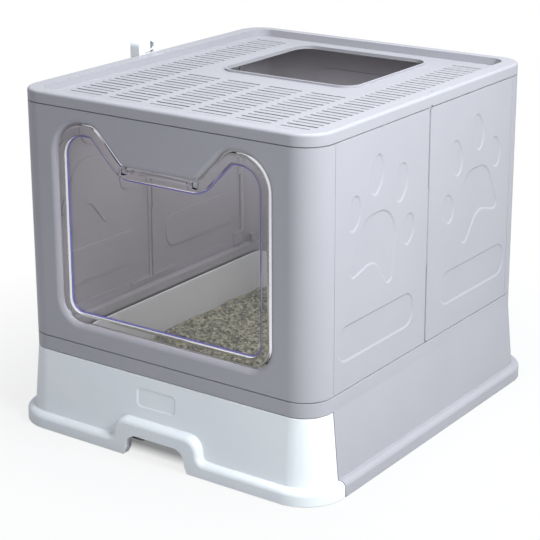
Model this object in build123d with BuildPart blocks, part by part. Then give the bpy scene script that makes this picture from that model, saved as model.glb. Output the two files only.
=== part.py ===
from build123d import *
import math
import os

os.makedirs("parts", exist_ok=True)

# Foldable litter box, unfolded and standing. X points right as seen from the front, Y to the back, Z up.
# The origin is on the floor under the middle of the walls.

# Driving sizes of the body
BODY_W = 410.0
BODY_D = 466.0
CORNER_R = 34.0
WALL_T = 3.0
WALL_H = 279.3
LID_H = 13.5
SEAM = 0.6

# Base frame and drawer front
DRAWER_TOP_Z = 95.4
DRAWER_LIFT = 0.6
STRIP_GAP = 0.8
STRIP_H = 16.8
SKIRT_FLARE = 8.6
SKIRT_T = 2.4
BEAD_H = 18.0
BEAD_OUT = 8.0
BEAD_ROUND = 6.5
FLOOR_T = 2.5
FLOOR_TO_POCKET = 4.0
LEDGE_DROP = 5.5
LEDGE_W = 15.0
LEDGE_T = 2.0
RAIL_H = 9.0
RAIL_T = 2.0
SLIT = 1.2

# Litter tray
TRAY_SIDE_IN = 18.0
TRAY_FRONT_IN = 19.0
TRAY_BACK_IN = 11.0
TRAY_CORNER_R = 18.0
TRAY_T = 2.5
TRAY_RIDE = 0.5
LITTER_DEPTH = 38.5
LITTER_GAP = 0.3

# Finger notch in the drawer front, and the arch of the bead over it
NOTCH_W = 84.0
NOTCH_H = 27.0
NOTCH_R = 15.0
NOTCH_FLARE = 9.0
NOTCH_FLARE_R = 6.0
ARCH_T = 18.0
ARCH_R = 18.5
ARCH_FOOT_R = 7.5
POCKET_W = 92.0
POCKET_L = 70.0

# Shiplap edges of the walls, inside the lid's skirt and the base's rim
LAP_INSET = 2.2
LAP_T = 1.6
LAP_OVER = 2.3
LAP_ROOT = 6.0
LAP_FREE = 0.5
RIM_T = 1.8

# Wall hinges: corner axes lie inside the wall, mid axes in its outer face
CORNER_AXIS_IN = 5.0
CORNER_AXIS_BACK = 38.0
CORNER_KNUCKLE_R = 3.2
MID_AXIS_IN = 0.5
MID_BARREL_R = 2.0
HINGE_FREE = 0.4
HINGE_SEGMENTS = 3
HINGE_END = 2.5
PIN_R = 1.5
MID_PIN_R = 1.0
PIN_CLEAR = 0.06
OPEN_PIVOT_CLEAR = 0.3
PIN_HEAD_R = 2.6
MID_PIN_HEAD_R = 1.7
PIN_HEAD_T = 1.0
PANEL_GAP = 0.25
MID_RELIEF = 4.2
MID_RELIEF_DEPTH = 0.6
MID_RIB_W = 6.0
MID_RIB_T = 2.0
FOOT_TAB_L = 44.0
FOOT_TAB_H = 3.5
FOOT_TAB_T = 2.5

# Sunk fields of the side panels, with heights above the wall's foot
DEBOSS = 1.3
BOSS_GROW = 1.0
PILL_NEAR = 31.0
PILL_TO_AXIS = 7.0
PILL_FOOT = 32.4
PILL_H = 41.5
PILL_R = 17.0
PAW_OFF_MIDDLE = 3.5
TOE_TILT = 13.0
# Each toe: how far from the paw's middle line, height of its middle, half width, half height
TOES = [
    (56.0, 194.4, 13.0, 20.0),
    (12.0, 227.4, 14.0, 23.0),
    (-39.0, 206.9, 14.5, 22.5),
    (-56.0, 149.4, 13.5, 18.5),
]
# Corners of the paw's pad from the same line, each with its height and its rounding
PAD_CORNERS = [(-21.0, 85.4), (-33.0, 185.4), (37.0, 186.4), (71.0, 118.4), (16.0, 132.4)]
PAD_RADII = [8.0, 34.0, 34.0, 8.0, 22.0]

# Back wall's raised field
BACK_FIELD_W = 204.0
BACK_FIELD_FOOT = 36.4
BACK_FIELD_DROP = 30.9
BACK_FIELD_R = 22.0

# Door opening in the front wall
OPENING_W = 297.0
OPENING_FOOT = 23.4
OPENING_FOOT_R = 30.0
EAR_DROP = 15.9
EAR_H = 41.0
EAR_R = 40.0
EAR_INNER_R = 22.0
EAR_INNER_X = 91.0
TONGUE_X = 51.0
TONGUE_R = 18.0
FLANGE_W = 9.0
FLANGE_DEPTH = 8.0
FLANGE_ROUND = 6.0

# Door, its barrel, lugs and stub pins
DOOR_GAP = 2.0
DOOR_T = 6.0
DOOR_RIM_W = 12.0
DOOR_PANE_T = 1.8
DOOR_AXIS_DROP = 4.5
DOOR_BARREL_R = 3.4
DOOR_BARREL_X = 46.5
LUG_NEAR_X = 47.5
LUG_FAR_X = 51.5
LUG_ROOT = 4.0
LUG_FREE = 1.0
DOOR_PIN_IN = 9.0
DOOR_PIN_HEAD_R = 2.4
DOOR_PIN_HEAD_T = 0.6
DOOR_AXIS_IN = 5.5

# Lid
LID_T = 2.2
LID_RIM_SIDE = 20.0
LID_RIM_FRONT = 15.0
LID_DISH = 9.3
LID_PAN_T = 2.0
LID_PAN_R = 20.0
LID_EDGE_R = 3.5
EXIT_W = 188.0
EXIT_L = 180.0
EXIT_BACK_IN = 45.0
EXIT_R = 20.0
EXIT_BEAD_T = 2.4
EXIT_BEAD_H = 2.5
SLOT_COLUMNS = 6
SLOT_BRIDGE = 11.5
SLOT_MARGIN = 8.0
SLOT_W = 5.2
SLOT_NARROW_W = 3.8
SLOT_PAIR_Y = 22.3
SLOT_FIRST_IN = 33.0
SLOT_TO_EXIT = 38.0
RIB_W = 40.0
RIB_X = 120.0
RIB_T = 1.6
RIB_DROP = 6.5
RIB_FREE = 0.4
RIM_HOLE_L = 9.0
RIM_HOLE_W = 3.0
RIM_HOLE_IN = 9.0
RIM_HOLE_DEPTH = 0.9
BARREL_NOTCH_W = 6.0
BARREL_NOTCH_H = 1.4

# Scoop and its hook
SCOOP_Y = 12.0
SCOOP_GAP = 2.5
HANDLE_W = 41.0
HANDLE_D = 14.0
HANDLE_RISE = 17.0
HANDLE_R = 9.0
SCOOP_T = 2.0
HANG_HOLE_L = 18.0
HANG_HOLE_H = 11.5
HANG_HOLE_DROP = 9.5
HOOK_SLOT_L = 16.0
HOOK_SLOT_H = 8.5
HANDLE_L = 134.0
BLADE_L = 142.0
BLADE_W = 106.0
BLADE_D = 36.0
BLADE_LIP_D = 9.0
BLADE_SLOPE_L = 80.0
BLADE_R = 14.0
SCOOP_SLOTS = 9
SCOOP_SLOT_W = 5.0
SCOOP_SLOT_L = 96.0
SCOOP_SLOT_PITCH = 10.4
HOOK_DROP = 3.8
HOOK_W = 12.0
HOOK_T = 2.8
HOOK_REACH = 17.0
HOOK_FOOT_T = 2.4
HOOK_FOOT_GROW = 2.0
HOOK_FREE = 0.2
REST_RIB_T = 2.0
REST_RIB_D = 4.5

# Wall catches at the feet of the rear corners
CATCH_T = 4.6
CATCH_NEAR = 4.2
CATCH_L = 15.0
CATCH_H = 18.0
CATCH_LIFT = 1.5
CATCH_ROUND = 1.2
KEEPER_NEAR = 9.0
KEEPER_L = 12.0
KEEPER_H = 13.0
KEEPER_T = 1.6
KEEPER_D = 5.5

# Levels and faces that follow from the driving sizes
STRIP_Z = DRAWER_TOP_Z + STRIP_GAP
BASE_TOP_Z = STRIP_Z + STRIP_H
LEDGE_Z = BASE_TOP_Z - LEDGE_DROP
WALL_Z0 = BASE_TOP_Z + SEAM
WALL_Z1 = WALL_Z0 + WALL_H
LID_Z0 = WALL_Z1 + SEAM
LID_Z1 = LID_Z0 + LID_H
PAN_Z = LID_Z1 - LID_DISH
LAP_TOP_Z = WALL_Z1 + LAP_OVER
LAP_BOTTOM_Z = LEDGE_Z + LAP_FREE
HALF_W = BODY_W / 2
HALF_D = BODY_D / 2
CORNER_AXIS_X = HALF_W - CORNER_AXIS_IN
CORNER_AXIS_Y = HALF_D - CORNER_AXIS_BACK
MID_AXIS_X = HALF_W - MID_AXIS_IN
DRAWER_SPLIT_Y = -CORNER_AXIS_Y
TRAY_Z = FLOOR_T + TRAY_RIDE
TRAY_W = BODY_W - 2 * TRAY_SIDE_IN
TRAY_FRONT_Y = -HALF_D + TRAY_FRONT_IN
TRAY_BACK_Y = HALF_D - TRAY_BACK_IN
LITTER_TOP_Z = TRAY_Z + TRAY_T + LITTER_DEPTH
POCKET_END_Y = TRAY_FRONT_Y + POCKET_L
FLOOR_FRONT_Y = POCKET_END_Y + FLOOR_TO_POCKET
OPENING_BOTTOM_Z = WALL_Z0 + OPENING_FOOT
EAR_TOP_Z = WALL_Z1 - EAR_DROP
TONGUE_Z = EAR_TOP_Z - EAR_H
PILL_FAR = CORNER_AXIS_Y - PILL_TO_AXIS
PILL_BOTTOM_Z = WALL_Z0 + PILL_FOOT
PILL_TOP_Z = PILL_BOTTOM_Z + PILL_H
PAW_LINE = CORNER_AXIS_Y / 2 + PAW_OFF_MIDDLE
BACK_FIELD_BOTTOM_Z = WALL_Z0 + BACK_FIELD_FOOT
BACK_FIELD_TOP_Z = WALL_Z1 - BACK_FIELD_DROP
EXIT_BACK_Y = HALF_D - EXIT_BACK_IN
EXIT_FRONT_Y = EXIT_BACK_Y - EXIT_L
SLOT_FIRST_Y = SLOT_FIRST_IN - HALF_D
SLOT_PITCH_X = (BODY_W - 2 * LID_RIM_SIDE - 2 * SLOT_MARGIN) / SLOT_COLUMNS
SLOT_L = SLOT_PITCH_X - SLOT_BRIDGE
SLOT_PAIRS_FRONT = int((EXIT_FRONT_Y - SLOT_TO_EXIT - SLOT_FIRST_Y) / SLOT_PAIR_Y + 0.5)
SLOT_PAIRS_SIDE = int(-2 * SLOT_FIRST_Y / SLOT_PAIR_Y + 0.5)
HANDLE_TOP_Z = LID_Z1 + HANDLE_RISE
DOOR_AXIS_Z = TONGUE_Z - DOOR_AXIS_DROP
DOOR_AXIS_Y = -HALF_D + DOOR_AXIS_IN
HINGE_Z0 = WALL_Z0 + HINGE_END
HINGE_Z1 = WALL_Z1 - HINGE_END
WALL_IN = HALF_W - WALL_T
LAP_IN = LAP_INSET + LAP_T
KNUCKLE_TOP_Z = HINGE_Z1 - HINGE_FREE / 2
HOOK_Z = LID_Z1 - HOOK_DROP - HOOK_T
SCOOP_X = -HALF_W - SCOOP_GAP
BLADE_TOP_Z = HANDLE_TOP_Z - HANDLE_L
BLADE_BOTTOM_Z = BLADE_TOP_Z - BLADE_L
FAR = 1000.0


def plan_outline(inset):
    """Rounded rectangle of the body seen from above, drawn in by inset or out by a negative one."""
    RectangleRounded(BODY_W - 2 * inset, BODY_D - 2 * inset, CORNER_R - inset)


def flared_skirt(inset, bottom):
    """Solid inside the flared skirt, from bottom up to the strip."""
    with BuildPart() as skirt:
        with BuildSketch(Plane.XY.offset(bottom)):
            plan_outline(inset - SKIRT_FLARE * (1 - bottom / STRIP_Z))
        with BuildSketch(Plane.XY.offset(STRIP_Z)):
            plan_outline(inset)
        loft()
    return skirt.part


def skirt_hollow():
    """Space inside the base's skirt and bead, which stops at the end walls beside the drawer."""
    with BuildPart() as hollow:
        with BuildSketch(Plane.XY.offset(FLOOR_T)):
            plan_outline(SKIRT_T - SKIRT_FLARE - BEAD_OUT)
        extrude(amount=BEAD_H - SKIRT_T - FLOOR_T)
        fillet(hollow.faces().sort_by(Axis.Z)[-1].edges(), BEAD_ROUND - SKIRT_T)
        add(flared_skirt(SKIRT_T, FLOOR_T))
        with Locations((0, DRAWER_SPLIT_Y + SLIT / 2 + SKIRT_T + FAR / 2, 0)):
            Box(FAR, FAR, FAR, mode=Mode.INTERSECT)
    return hollow.part


def front_bead_face(shrink):
    """Front view of the drawer's bead, which rises over the finger notch, drawn in by shrink."""
    half = NOTCH_W / 2 + ARCH_T - shrink
    top = NOTCH_H + ARCH_T - shrink
    low = BEAD_H - shrink
    with BuildSketch() as face:
        with BuildLine():
            FilletPolyline(
                (-FAR, low),
                (-half - 2, low),
                (-half, top),
                (half, top),
                (half + 2, low),
                (FAR, low),
                radius=[ARCH_FOOT_R + shrink, ARCH_R - shrink, ARCH_R - shrink, ARCH_FOOT_R + shrink],
            )
            Polyline((FAR, low), (FAR, -FAR / 4), (-FAR, -FAR / 4), (-FAR, low))
        make_face()
    return face.sketch


def notch_face(grow):
    """Front view of the finger notch, grown by its wall's thickness."""
    half = NOTCH_W / 2 + grow
    top = NOTCH_H + grow
    with BuildSketch() as face:
        with BuildLine():
            FilletPolyline(
                (-half - NOTCH_FLARE, -NOTCH_FLARE),
                (-half, NOTCH_FLARE),
                (-half, top),
                (half, top),
                (half, NOTCH_FLARE),
                (half + NOTCH_FLARE, -NOTCH_FLARE),
                radius=[NOTCH_FLARE_R, NOTCH_R + grow, NOTCH_R + grow, NOTCH_FLARE_R],
            )
            Line((half + NOTCH_FLARE, -NOTCH_FLARE), (-half - NOTCH_FLARE, -NOTCH_FLARE))
        make_face()
    return face.sketch


def opening_face(inset):
    """Front view of the ear-shaped door opening, drawn in by inset."""
    half = OPENING_W / 2 - inset
    low = OPENING_BOTTOM_Z + inset
    top = EAR_TOP_Z - inset
    tongue = TONGUE_Z - inset
    lean = math.atan2(EAR_TOP_Z - TONGUE_Z, EAR_INNER_X - TONGUE_X)
    ear_x = EAR_INNER_X + inset * math.tan(lean / 2)
    tongue_x = TONGUE_X + inset * math.tan(lean / 2)
    foot_r, ear_r = OPENING_FOOT_R - inset, EAR_R - inset
    ear_inner_r, tongue_r = EAR_INNER_R - inset, TONGUE_R + inset
    with BuildSketch() as face:
        with BuildLine():
            FilletPolyline(
                (-half, low),
                (half, low),
                (half, top),
                (ear_x, top),
                (tongue_x, tongue),
                (-tongue_x, tongue),
                (-ear_x, top),
                (-half, top),
                radius=[foot_r, foot_r, ear_r, ear_inner_r, tongue_r, tongue_r, ear_inner_r, ear_r],
                close=True,
            )
        make_face()
    return face.sketch


def hinge_span(index, free=0.0):
    """Height range of one knuckle of a wall hinge, widened by free at both ends."""
    pitch = (HINGE_Z1 - HINGE_Z0) / HINGE_SEGMENTS
    low = HINGE_Z0 + pitch * index + HINGE_FREE / 2 - free
    return low, low + pitch - HINGE_FREE + 2 * free


def corner_knuckles(side, end, indexes, lean):
    """Knuckles on one corner axis, each with a leaf on the lean side of the axis."""
    x, y = side * CORNER_AXIS_X, end * CORNER_AXIS_Y
    reach = CORNER_KNUCKLE_R + 3.0
    with BuildPart() as knuckles:
        for index in indexes:
            low, high = hinge_span(index)
            with BuildSketch(Plane.XY.offset(low)):
                with Locations((x, y)):
                    Circle(CORNER_KNUCKLE_R)
                with Locations((x + side * CORNER_KNUCKLE_R / 2, y + lean * reach / 2)):
                    Rectangle(CORNER_KNUCKLE_R, reach)
            extrude(amount=high - low)
    return knuckles.part


def corner_reliefs(side, end, indexes):
    """Space round a corner axis where the other panel's knuckles turn."""
    with BuildPart() as reliefs:
        for index in indexes:
            low, high = hinge_span(index, free=HINGE_FREE)
            with BuildSketch(Plane.XY.offset(low)):
                with Locations((side * CORNER_AXIS_X, end * CORNER_AXIS_Y)):
                    Circle(CORNER_KNUCKLE_R + HINGE_FREE)
            extrude(amount=high - low)
    return reliefs.part


def axis_rod(x, y, radius, low, high):
    """Upright round rod, used for pins and for the bores that take them."""
    with BuildPart() as rod:
        with BuildSketch(Plane.XY.offset(low)):
            with Locations((x, y)):
                Circle(radius)
        extrude(amount=high - low)
    return rod.part


def hinge_pin(x, y, radius, head_radius):
    """Hinge pin that hangs by its head on the top knuckle."""
    with BuildPart() as pin:
        add(axis_rod(x, y, radius, HINGE_Z0, KNUCKLE_TOP_Z))
        add(axis_rod(x, y, head_radius, KNUCKLE_TOP_Z, KNUCKLE_TOP_Z + PIN_HEAD_T))
    return pin.part


# The end walls take the knuckles 0, 2 and 4 of each corner, the side panels 1 and 3
END_KNUCKLES = [i for i in range(HINGE_SEGMENTS) if i % 2 == 0]
SIDE_KNUCKLES = [i for i in range(HINGE_SEGMENTS) if i % 2 == 1]


# Base frame: a flared hollow skirt on a foot bead, with a strip over the drawer, a ledge and a floor
with BuildPart() as base_frame:
    with BuildSketch():
        plan_outline(-SKIRT_FLARE - BEAD_OUT)
    extrude(amount=BEAD_H)
    fillet(base_frame.faces().sort_by(Axis.Z)[-1].edges(), BEAD_ROUND)
    add(flared_skirt(0, 0))
    with BuildSketch(Plane.XY.offset(STRIP_Z)):
        plan_outline(0)
    extrude(amount=STRIP_H)
    add(skirt_hollow(), mode=Mode.SUBTRACT)
    with BuildSketch(Plane.XY.offset(STRIP_Z)):
        plan_outline(SKIRT_T)
    extrude(amount=STRIP_H - LEDGE_DROP, mode=Mode.SUBTRACT)
    with BuildSketch(Plane.XY.offset(LEDGE_Z)):
        plan_outline(RIM_T)
    extrude(amount=LEDGE_DROP, mode=Mode.SUBTRACT)
    # Everything in front of the slits belongs to the drawer
    with Locations((0, DRAWER_SPLIT_Y + SLIT / 2 - FAR / 2, STRIP_Z / 2)):
        Box(FAR, FAR, STRIP_Z, mode=Mode.SUBTRACT)
    passage_w = TRAY_W + 2 * (RAIL_T + 1)
    with Locations((0, FLOOR_FRONT_Y - FAR / 2, STRIP_Z / 2)):
        Box(passage_w, FAR, STRIP_Z, mode=Mode.SUBTRACT)
    # Ledge under the walls, with a lip down to the tray
    with BuildSketch(Plane.XY.offset(LEDGE_Z - LEDGE_T)):
        plan_outline(RIM_T / 2)
        with BuildSketch(Plane.XY, mode=Mode.SUBTRACT):
            plan_outline(LEDGE_W)
    extrude(amount=LEDGE_T)
    with BuildSketch(Plane.XY.offset(STRIP_Z)):
        plan_outline(LEDGE_W - LEDGE_T)
        with BuildSketch(Plane.XY, mode=Mode.SUBTRACT):
            plan_outline(LEDGE_W)
    extrude(amount=LEDGE_Z - STRIP_Z)
    # Rails on the floor that guide the tray
    rail_l = TRAY_BACK_Y - FLOOR_FRONT_Y
    with BuildSketch(Plane.XY.offset(FLOOR_T)):
        with Locations(
            (TRAY_W / 2 + 1 + RAIL_T / 2, FLOOR_FRONT_Y + rail_l / 2),
            (-TRAY_W / 2 - 1 - RAIL_T / 2, FLOOR_FRONT_Y + rail_l / 2),
        ):
            Rectangle(RAIL_T, rail_l)
    extrude(amount=RAIL_H)
base_frame.part.label = "base_frame"
export_step(base_frame.part, "parts/base_frame.step")


def is_bead_edge(edge):
    """Whether an edge is the upper outer edge of the drawer's bead."""
    middle = edge @ 0.5
    reach = SKIRT_FLARE + BEAD_OUT
    across = abs(middle.X) - (HALF_W - CORNER_R)
    along = abs(middle.Y) - (HALF_D - CORNER_R)
    if across > 0 and along > 0:
        out = math.hypot(across, along)
    else:
        out = max(across, along)
    upright = abs((edge % 0.5).Z) > 0.9999
    return abs(out - CORNER_R - reach) < 0.01 and middle.Z > 1 and middle.Y < -1 and not upright


def drawer_hollow():
    """Space behind the drawer's flared front and inside its bead, with the notch's wall left standing."""
    with BuildPart() as hollow:
        with BuildSketch(Plane.XY):
            plan_outline(SKIRT_T - SKIRT_FLARE - BEAD_OUT)
        extrude(amount=NOTCH_H + ARCH_T)
        with BuildSketch(Plane.XZ):
            add(front_bead_face(SKIRT_T))
            add(notch_face(SKIRT_T), mode=Mode.SUBTRACT)
        extrude(amount=FAR, mode=Mode.INTERSECT)
        add(flared_skirt(SKIRT_T, 0))
        with Locations((0, DRAWER_SPLIT_Y - SLIT / 2 - SKIRT_T - FAR / 2, 0)):
            Box(FAR, FAR, 2 * (DRAWER_TOP_Z - SKIRT_T), mode=Mode.INTERSECT)
    return hollow.part


def tray_block(inset, bottom, top):
    """Upright rounded block of the tray's plan, drawn in by inset."""
    with BuildPart() as block:
        with BuildSketch(Plane.XY.offset(bottom)):
            with Locations((0, (TRAY_FRONT_Y + TRAY_BACK_Y) / 2)):
                RectangleRounded(
                    TRAY_W - 2 * inset, TRAY_BACK_Y - TRAY_FRONT_Y - 2 * inset, TRAY_CORNER_R - inset
                )
        extrude(amount=top - bottom)
    return block.part


def finger_pocket(grow):
    """Wedge under the front of the tray that the fingers reach into, grown by its wall."""
    front_y = TRAY_FRONT_Y + TRAY_T / 2 if grow else TRAY_FRONT_Y - TRAY_T
    bottom = TRAY_Z if grow else 0
    with BuildPart() as wedge:
        with BuildSketch(Plane.YZ):
            with BuildLine():
                Polyline(
                    (front_y, bottom),
                    (front_y, NOTCH_H + grow),
                    (TRAY_FRONT_Y + TRAY_T, NOTCH_H + grow),
                    (POCKET_END_Y + 3 * grow, TRAY_Z + grow / 2),
                    (POCKET_END_Y + 3 * grow, bottom),
                    close=True,
                )
            make_face()
        extrude(amount=POCKET_W / 2 + grow, both=True)
    return wedge.part


# Drawer: one white moulding, the flared front with its bead and arch, and the litter tray behind it
with BuildPart() as drawer_tray:
    with BuildSketch():
        plan_outline(-SKIRT_FLARE - BEAD_OUT)
    extrude(amount=NOTCH_H + ARCH_T + BEAD_ROUND)
    with BuildSketch(Plane.XZ):
        add(front_bead_face(0))
    extrude(amount=FAR, mode=Mode.INTERSECT)
    fillet(drawer_tray.edges().filter_by(is_bead_edge), BEAD_ROUND)
    add(flared_skirt(0, 0))
    add(drawer_hollow(), mode=Mode.SUBTRACT)
    with Locations((0, DRAWER_SPLIT_Y - SLIT / 2 - FAR / 2, DRAWER_LIFT / 2 + DRAWER_TOP_Z / 2)):
        Box(FAR, FAR, DRAWER_TOP_Z - DRAWER_LIFT, mode=Mode.INTERSECT)
    # Tray, with a rim level with the front's top
    add(tray_block(0, TRAY_Z, DRAWER_TOP_Z))
    add(tray_block(TRAY_T, TRAY_Z + TRAY_T, DRAWER_TOP_Z), mode=Mode.SUBTRACT)
    add(finger_pocket(TRAY_T))
    add(finger_pocket(0), mode=Mode.SUBTRACT)
    with BuildSketch(Plane.XZ.offset(-TRAY_FRONT_Y - TRAY_T)):
        add(notch_face(0))
    extrude(amount=FAR, mode=Mode.SUBTRACT)
drawer_tray.part.label = "drawer_tray"
export_step(drawer_tray.part, "parts/drawer_tray.step")


# Litter: loose granules, filled level over the tray's floor
with BuildPart() as litter_bed:
    add(tray_block(TRAY_T + LITTER_GAP, TRAY_Z + TRAY_T, LITTER_TOP_Z))
    add(finger_pocket(TRAY_T + LITTER_GAP), mode=Mode.SUBTRACT)
litter_bed.part.label = "litter_bed"
export_step(litter_bed.part, "parts/litter_bed.step")


def wall_ring(outer, inner, low, high, end):
    """Band of the body's outline that wraps one end of the box, between two insets and two heights."""
    reach = HALF_D - CORNER_AXIS_Y - PANEL_GAP
    with BuildPart() as ring:
        with BuildSketch(Plane.XY.offset(low)):
            plan_outline(outer)
            with BuildSketch(mode=Mode.SUBTRACT):
                plan_outline(inner)
            with Locations((0, end * (HALF_D - reach / 2))):
                Rectangle(BODY_W, reach, mode=Mode.INTERSECT)
        extrude(amount=high - low)
    return ring.part


def end_wall(end, lap_bottom):
    """End wall that wraps two corners, with its shiplap edges and its share of the corner knuckles."""
    with BuildPart() as wall:
        add(wall_ring(0, WALL_T, WALL_Z0, WALL_Z1, end))
        add(wall_ring(LAP_INSET, LAP_IN, lap_bottom, WALL_Z0 + LAP_ROOT, end))
        add(wall_ring(LAP_INSET, LAP_IN, WALL_Z1 - LAP_ROOT, LAP_TOP_Z, end))
        for side in (-1, 1):
            x, y = side * CORNER_AXIS_X, end * CORNER_AXIS_Y
            add(corner_reliefs(side, end, SIDE_KNUCKLES), mode=Mode.SUBTRACT)
            add(corner_knuckles(side, end, END_KNUCKLES, end))
            add(axis_rod(x, y, PIN_R + PIN_CLEAR, 0, LAP_TOP_Z), mode=Mode.SUBTRACT)
            add(axis_rod(x, y, PIN_HEAD_R + HINGE_FREE, KNUCKLE_TOP_Z, LAP_TOP_Z + 1), mode=Mode.SUBTRACT)
    return wall.part


# Back wall: stands on the ledge, with a large sunk field that stands proud inside
with BuildPart() as back_panel:
    add(end_wall(1, LEDGE_Z))
    field_h = BACK_FIELD_TOP_Z - BACK_FIELD_BOTTOM_Z
    field_z = (BACK_FIELD_TOP_Z + BACK_FIELD_BOTTOM_Z) / 2
    with BuildSketch(Plane.XZ.offset(-HALF_D + WALL_T)):
        with Locations((0, field_z)):
            RectangleRounded(BACK_FIELD_W + 2 * BOSS_GROW, field_h + 2 * BOSS_GROW, BACK_FIELD_R + BOSS_GROW)
    extrude(amount=DEBOSS)
    with BuildSketch(Plane.XZ.offset(-HALF_D)):
        with Locations((0, field_z)):
            RectangleRounded(BACK_FIELD_W, field_h, BACK_FIELD_R)
    extrude(amount=DEBOSS, mode=Mode.SUBTRACT)
back_panel.part.label = "back_panel"
export_step(back_panel.part, "parts/back_panel.step")


def is_opening_edge(edge):
    """Whether an edge is the outer edge of the door opening, in the front wall's face."""
    middle = edge @ 0.5
    inside = abs(middle.X) < OPENING_W / 2 + 1 and OPENING_BOTTOM_Z - 1 < middle.Z < EAR_TOP_Z + 1
    return inside and abs(middle.Y + HALF_D) < 0.01


def door_lug(side):
    """Lug under the opening's upper edge that carries one end of the door's barrel."""
    height = TONGUE_Z + LUG_ROOT - DOOR_AXIS_Z
    with BuildPart() as lug:
        with BuildSketch(Plane.YZ.offset(side * LUG_NEAR_X)):
            with Locations((DOOR_AXIS_Y, DOOR_AXIS_Z)):
                Circle(DOOR_BARREL_R)
            with Locations((DOOR_AXIS_Y, DOOR_AXIS_Z + height / 2)):
                Rectangle(2 * (DOOR_BARREL_R - LUG_FREE), height)
            with Locations((DOOR_AXIS_Y, DOOR_AXIS_Z)):
                Circle(PIN_R + PIN_CLEAR, mode=Mode.SUBTRACT)
        extrude(amount=side * (LUG_FAR_X - LUG_NEAR_X))
    return lug.part


# Front wall: the ear-shaped opening has a rolled edge and a flange, and two lugs that carry the door
with BuildPart() as front_panel:
    add(end_wall(-1, LAP_BOTTOM_Z))
    with BuildSketch(Plane.XZ.offset(HALF_D - FLANGE_DEPTH)):
        add(opening_face(-FLANGE_W))
    extrude(amount=FLANGE_DEPTH)
    with BuildSketch(Plane.XZ.offset(HALF_D - FLANGE_DEPTH)):
        add(opening_face(0))
    extrude(amount=FLANGE_DEPTH, mode=Mode.SUBTRACT)
    fillet(front_panel.edges().filter_by(is_opening_edge), FLANGE_ROUND)
    for side in (-1, 1):
        add(door_lug(side))
front_panel.part.label = "front_panel"
export_step(front_panel.part, "parts/front_panel.step")


def toe_oval(half_w, half_h):
    """Oval of four arcs, rounded at its ends as an ellipse is."""
    end_r = half_w ** 2 / half_h
    side_r = (half_w ** 2 + half_h ** 2 - 2 * half_h * end_r) / (2 * (half_w - end_r))
    with BuildSketch() as oval:
        with Locations((half_w - side_r, 0)):
            Circle(side_r)
        with Locations((side_r - half_w, 0)):
            Circle(side_r, mode=Mode.INTERSECT)
        fillet(oval.vertices(), end_r)
    return oval.sketch


def side_motif(lean, grow):
    """Paw and pill of one half panel, drawn on its outer face, grown by a margin."""
    with BuildSketch() as motif:
        for away, height, half_w, half_h in TOES:
            spot = (lean * (PAW_LINE + away), WALL_Z0 + height, 0)
            with Locations(Location(spot, (0, 0, lean * TOE_TILT))):
                add(toe_oval(half_w + grow, half_h + grow))
        with BuildLine():
            pad = [(lean * (PAW_LINE + away), WALL_Z0 + height) for away, height in PAD_CORNERS]
            FilletPolyline(*pad, radius=PAD_RADII, close=True)
        make_face()
    with BuildSketch() as pill:
        with Locations((lean * (PILL_NEAR + PILL_FAR) / 2, (PILL_BOTTOM_Z + PILL_TOP_Z) / 2)):
            RectangleRounded(
                PILL_FAR - PILL_NEAR + 2 * grow, PILL_TOP_Z - PILL_BOTTOM_Z + 2 * grow, PILL_R + grow
            )
    return motif.sketch, pill.sketch


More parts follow.
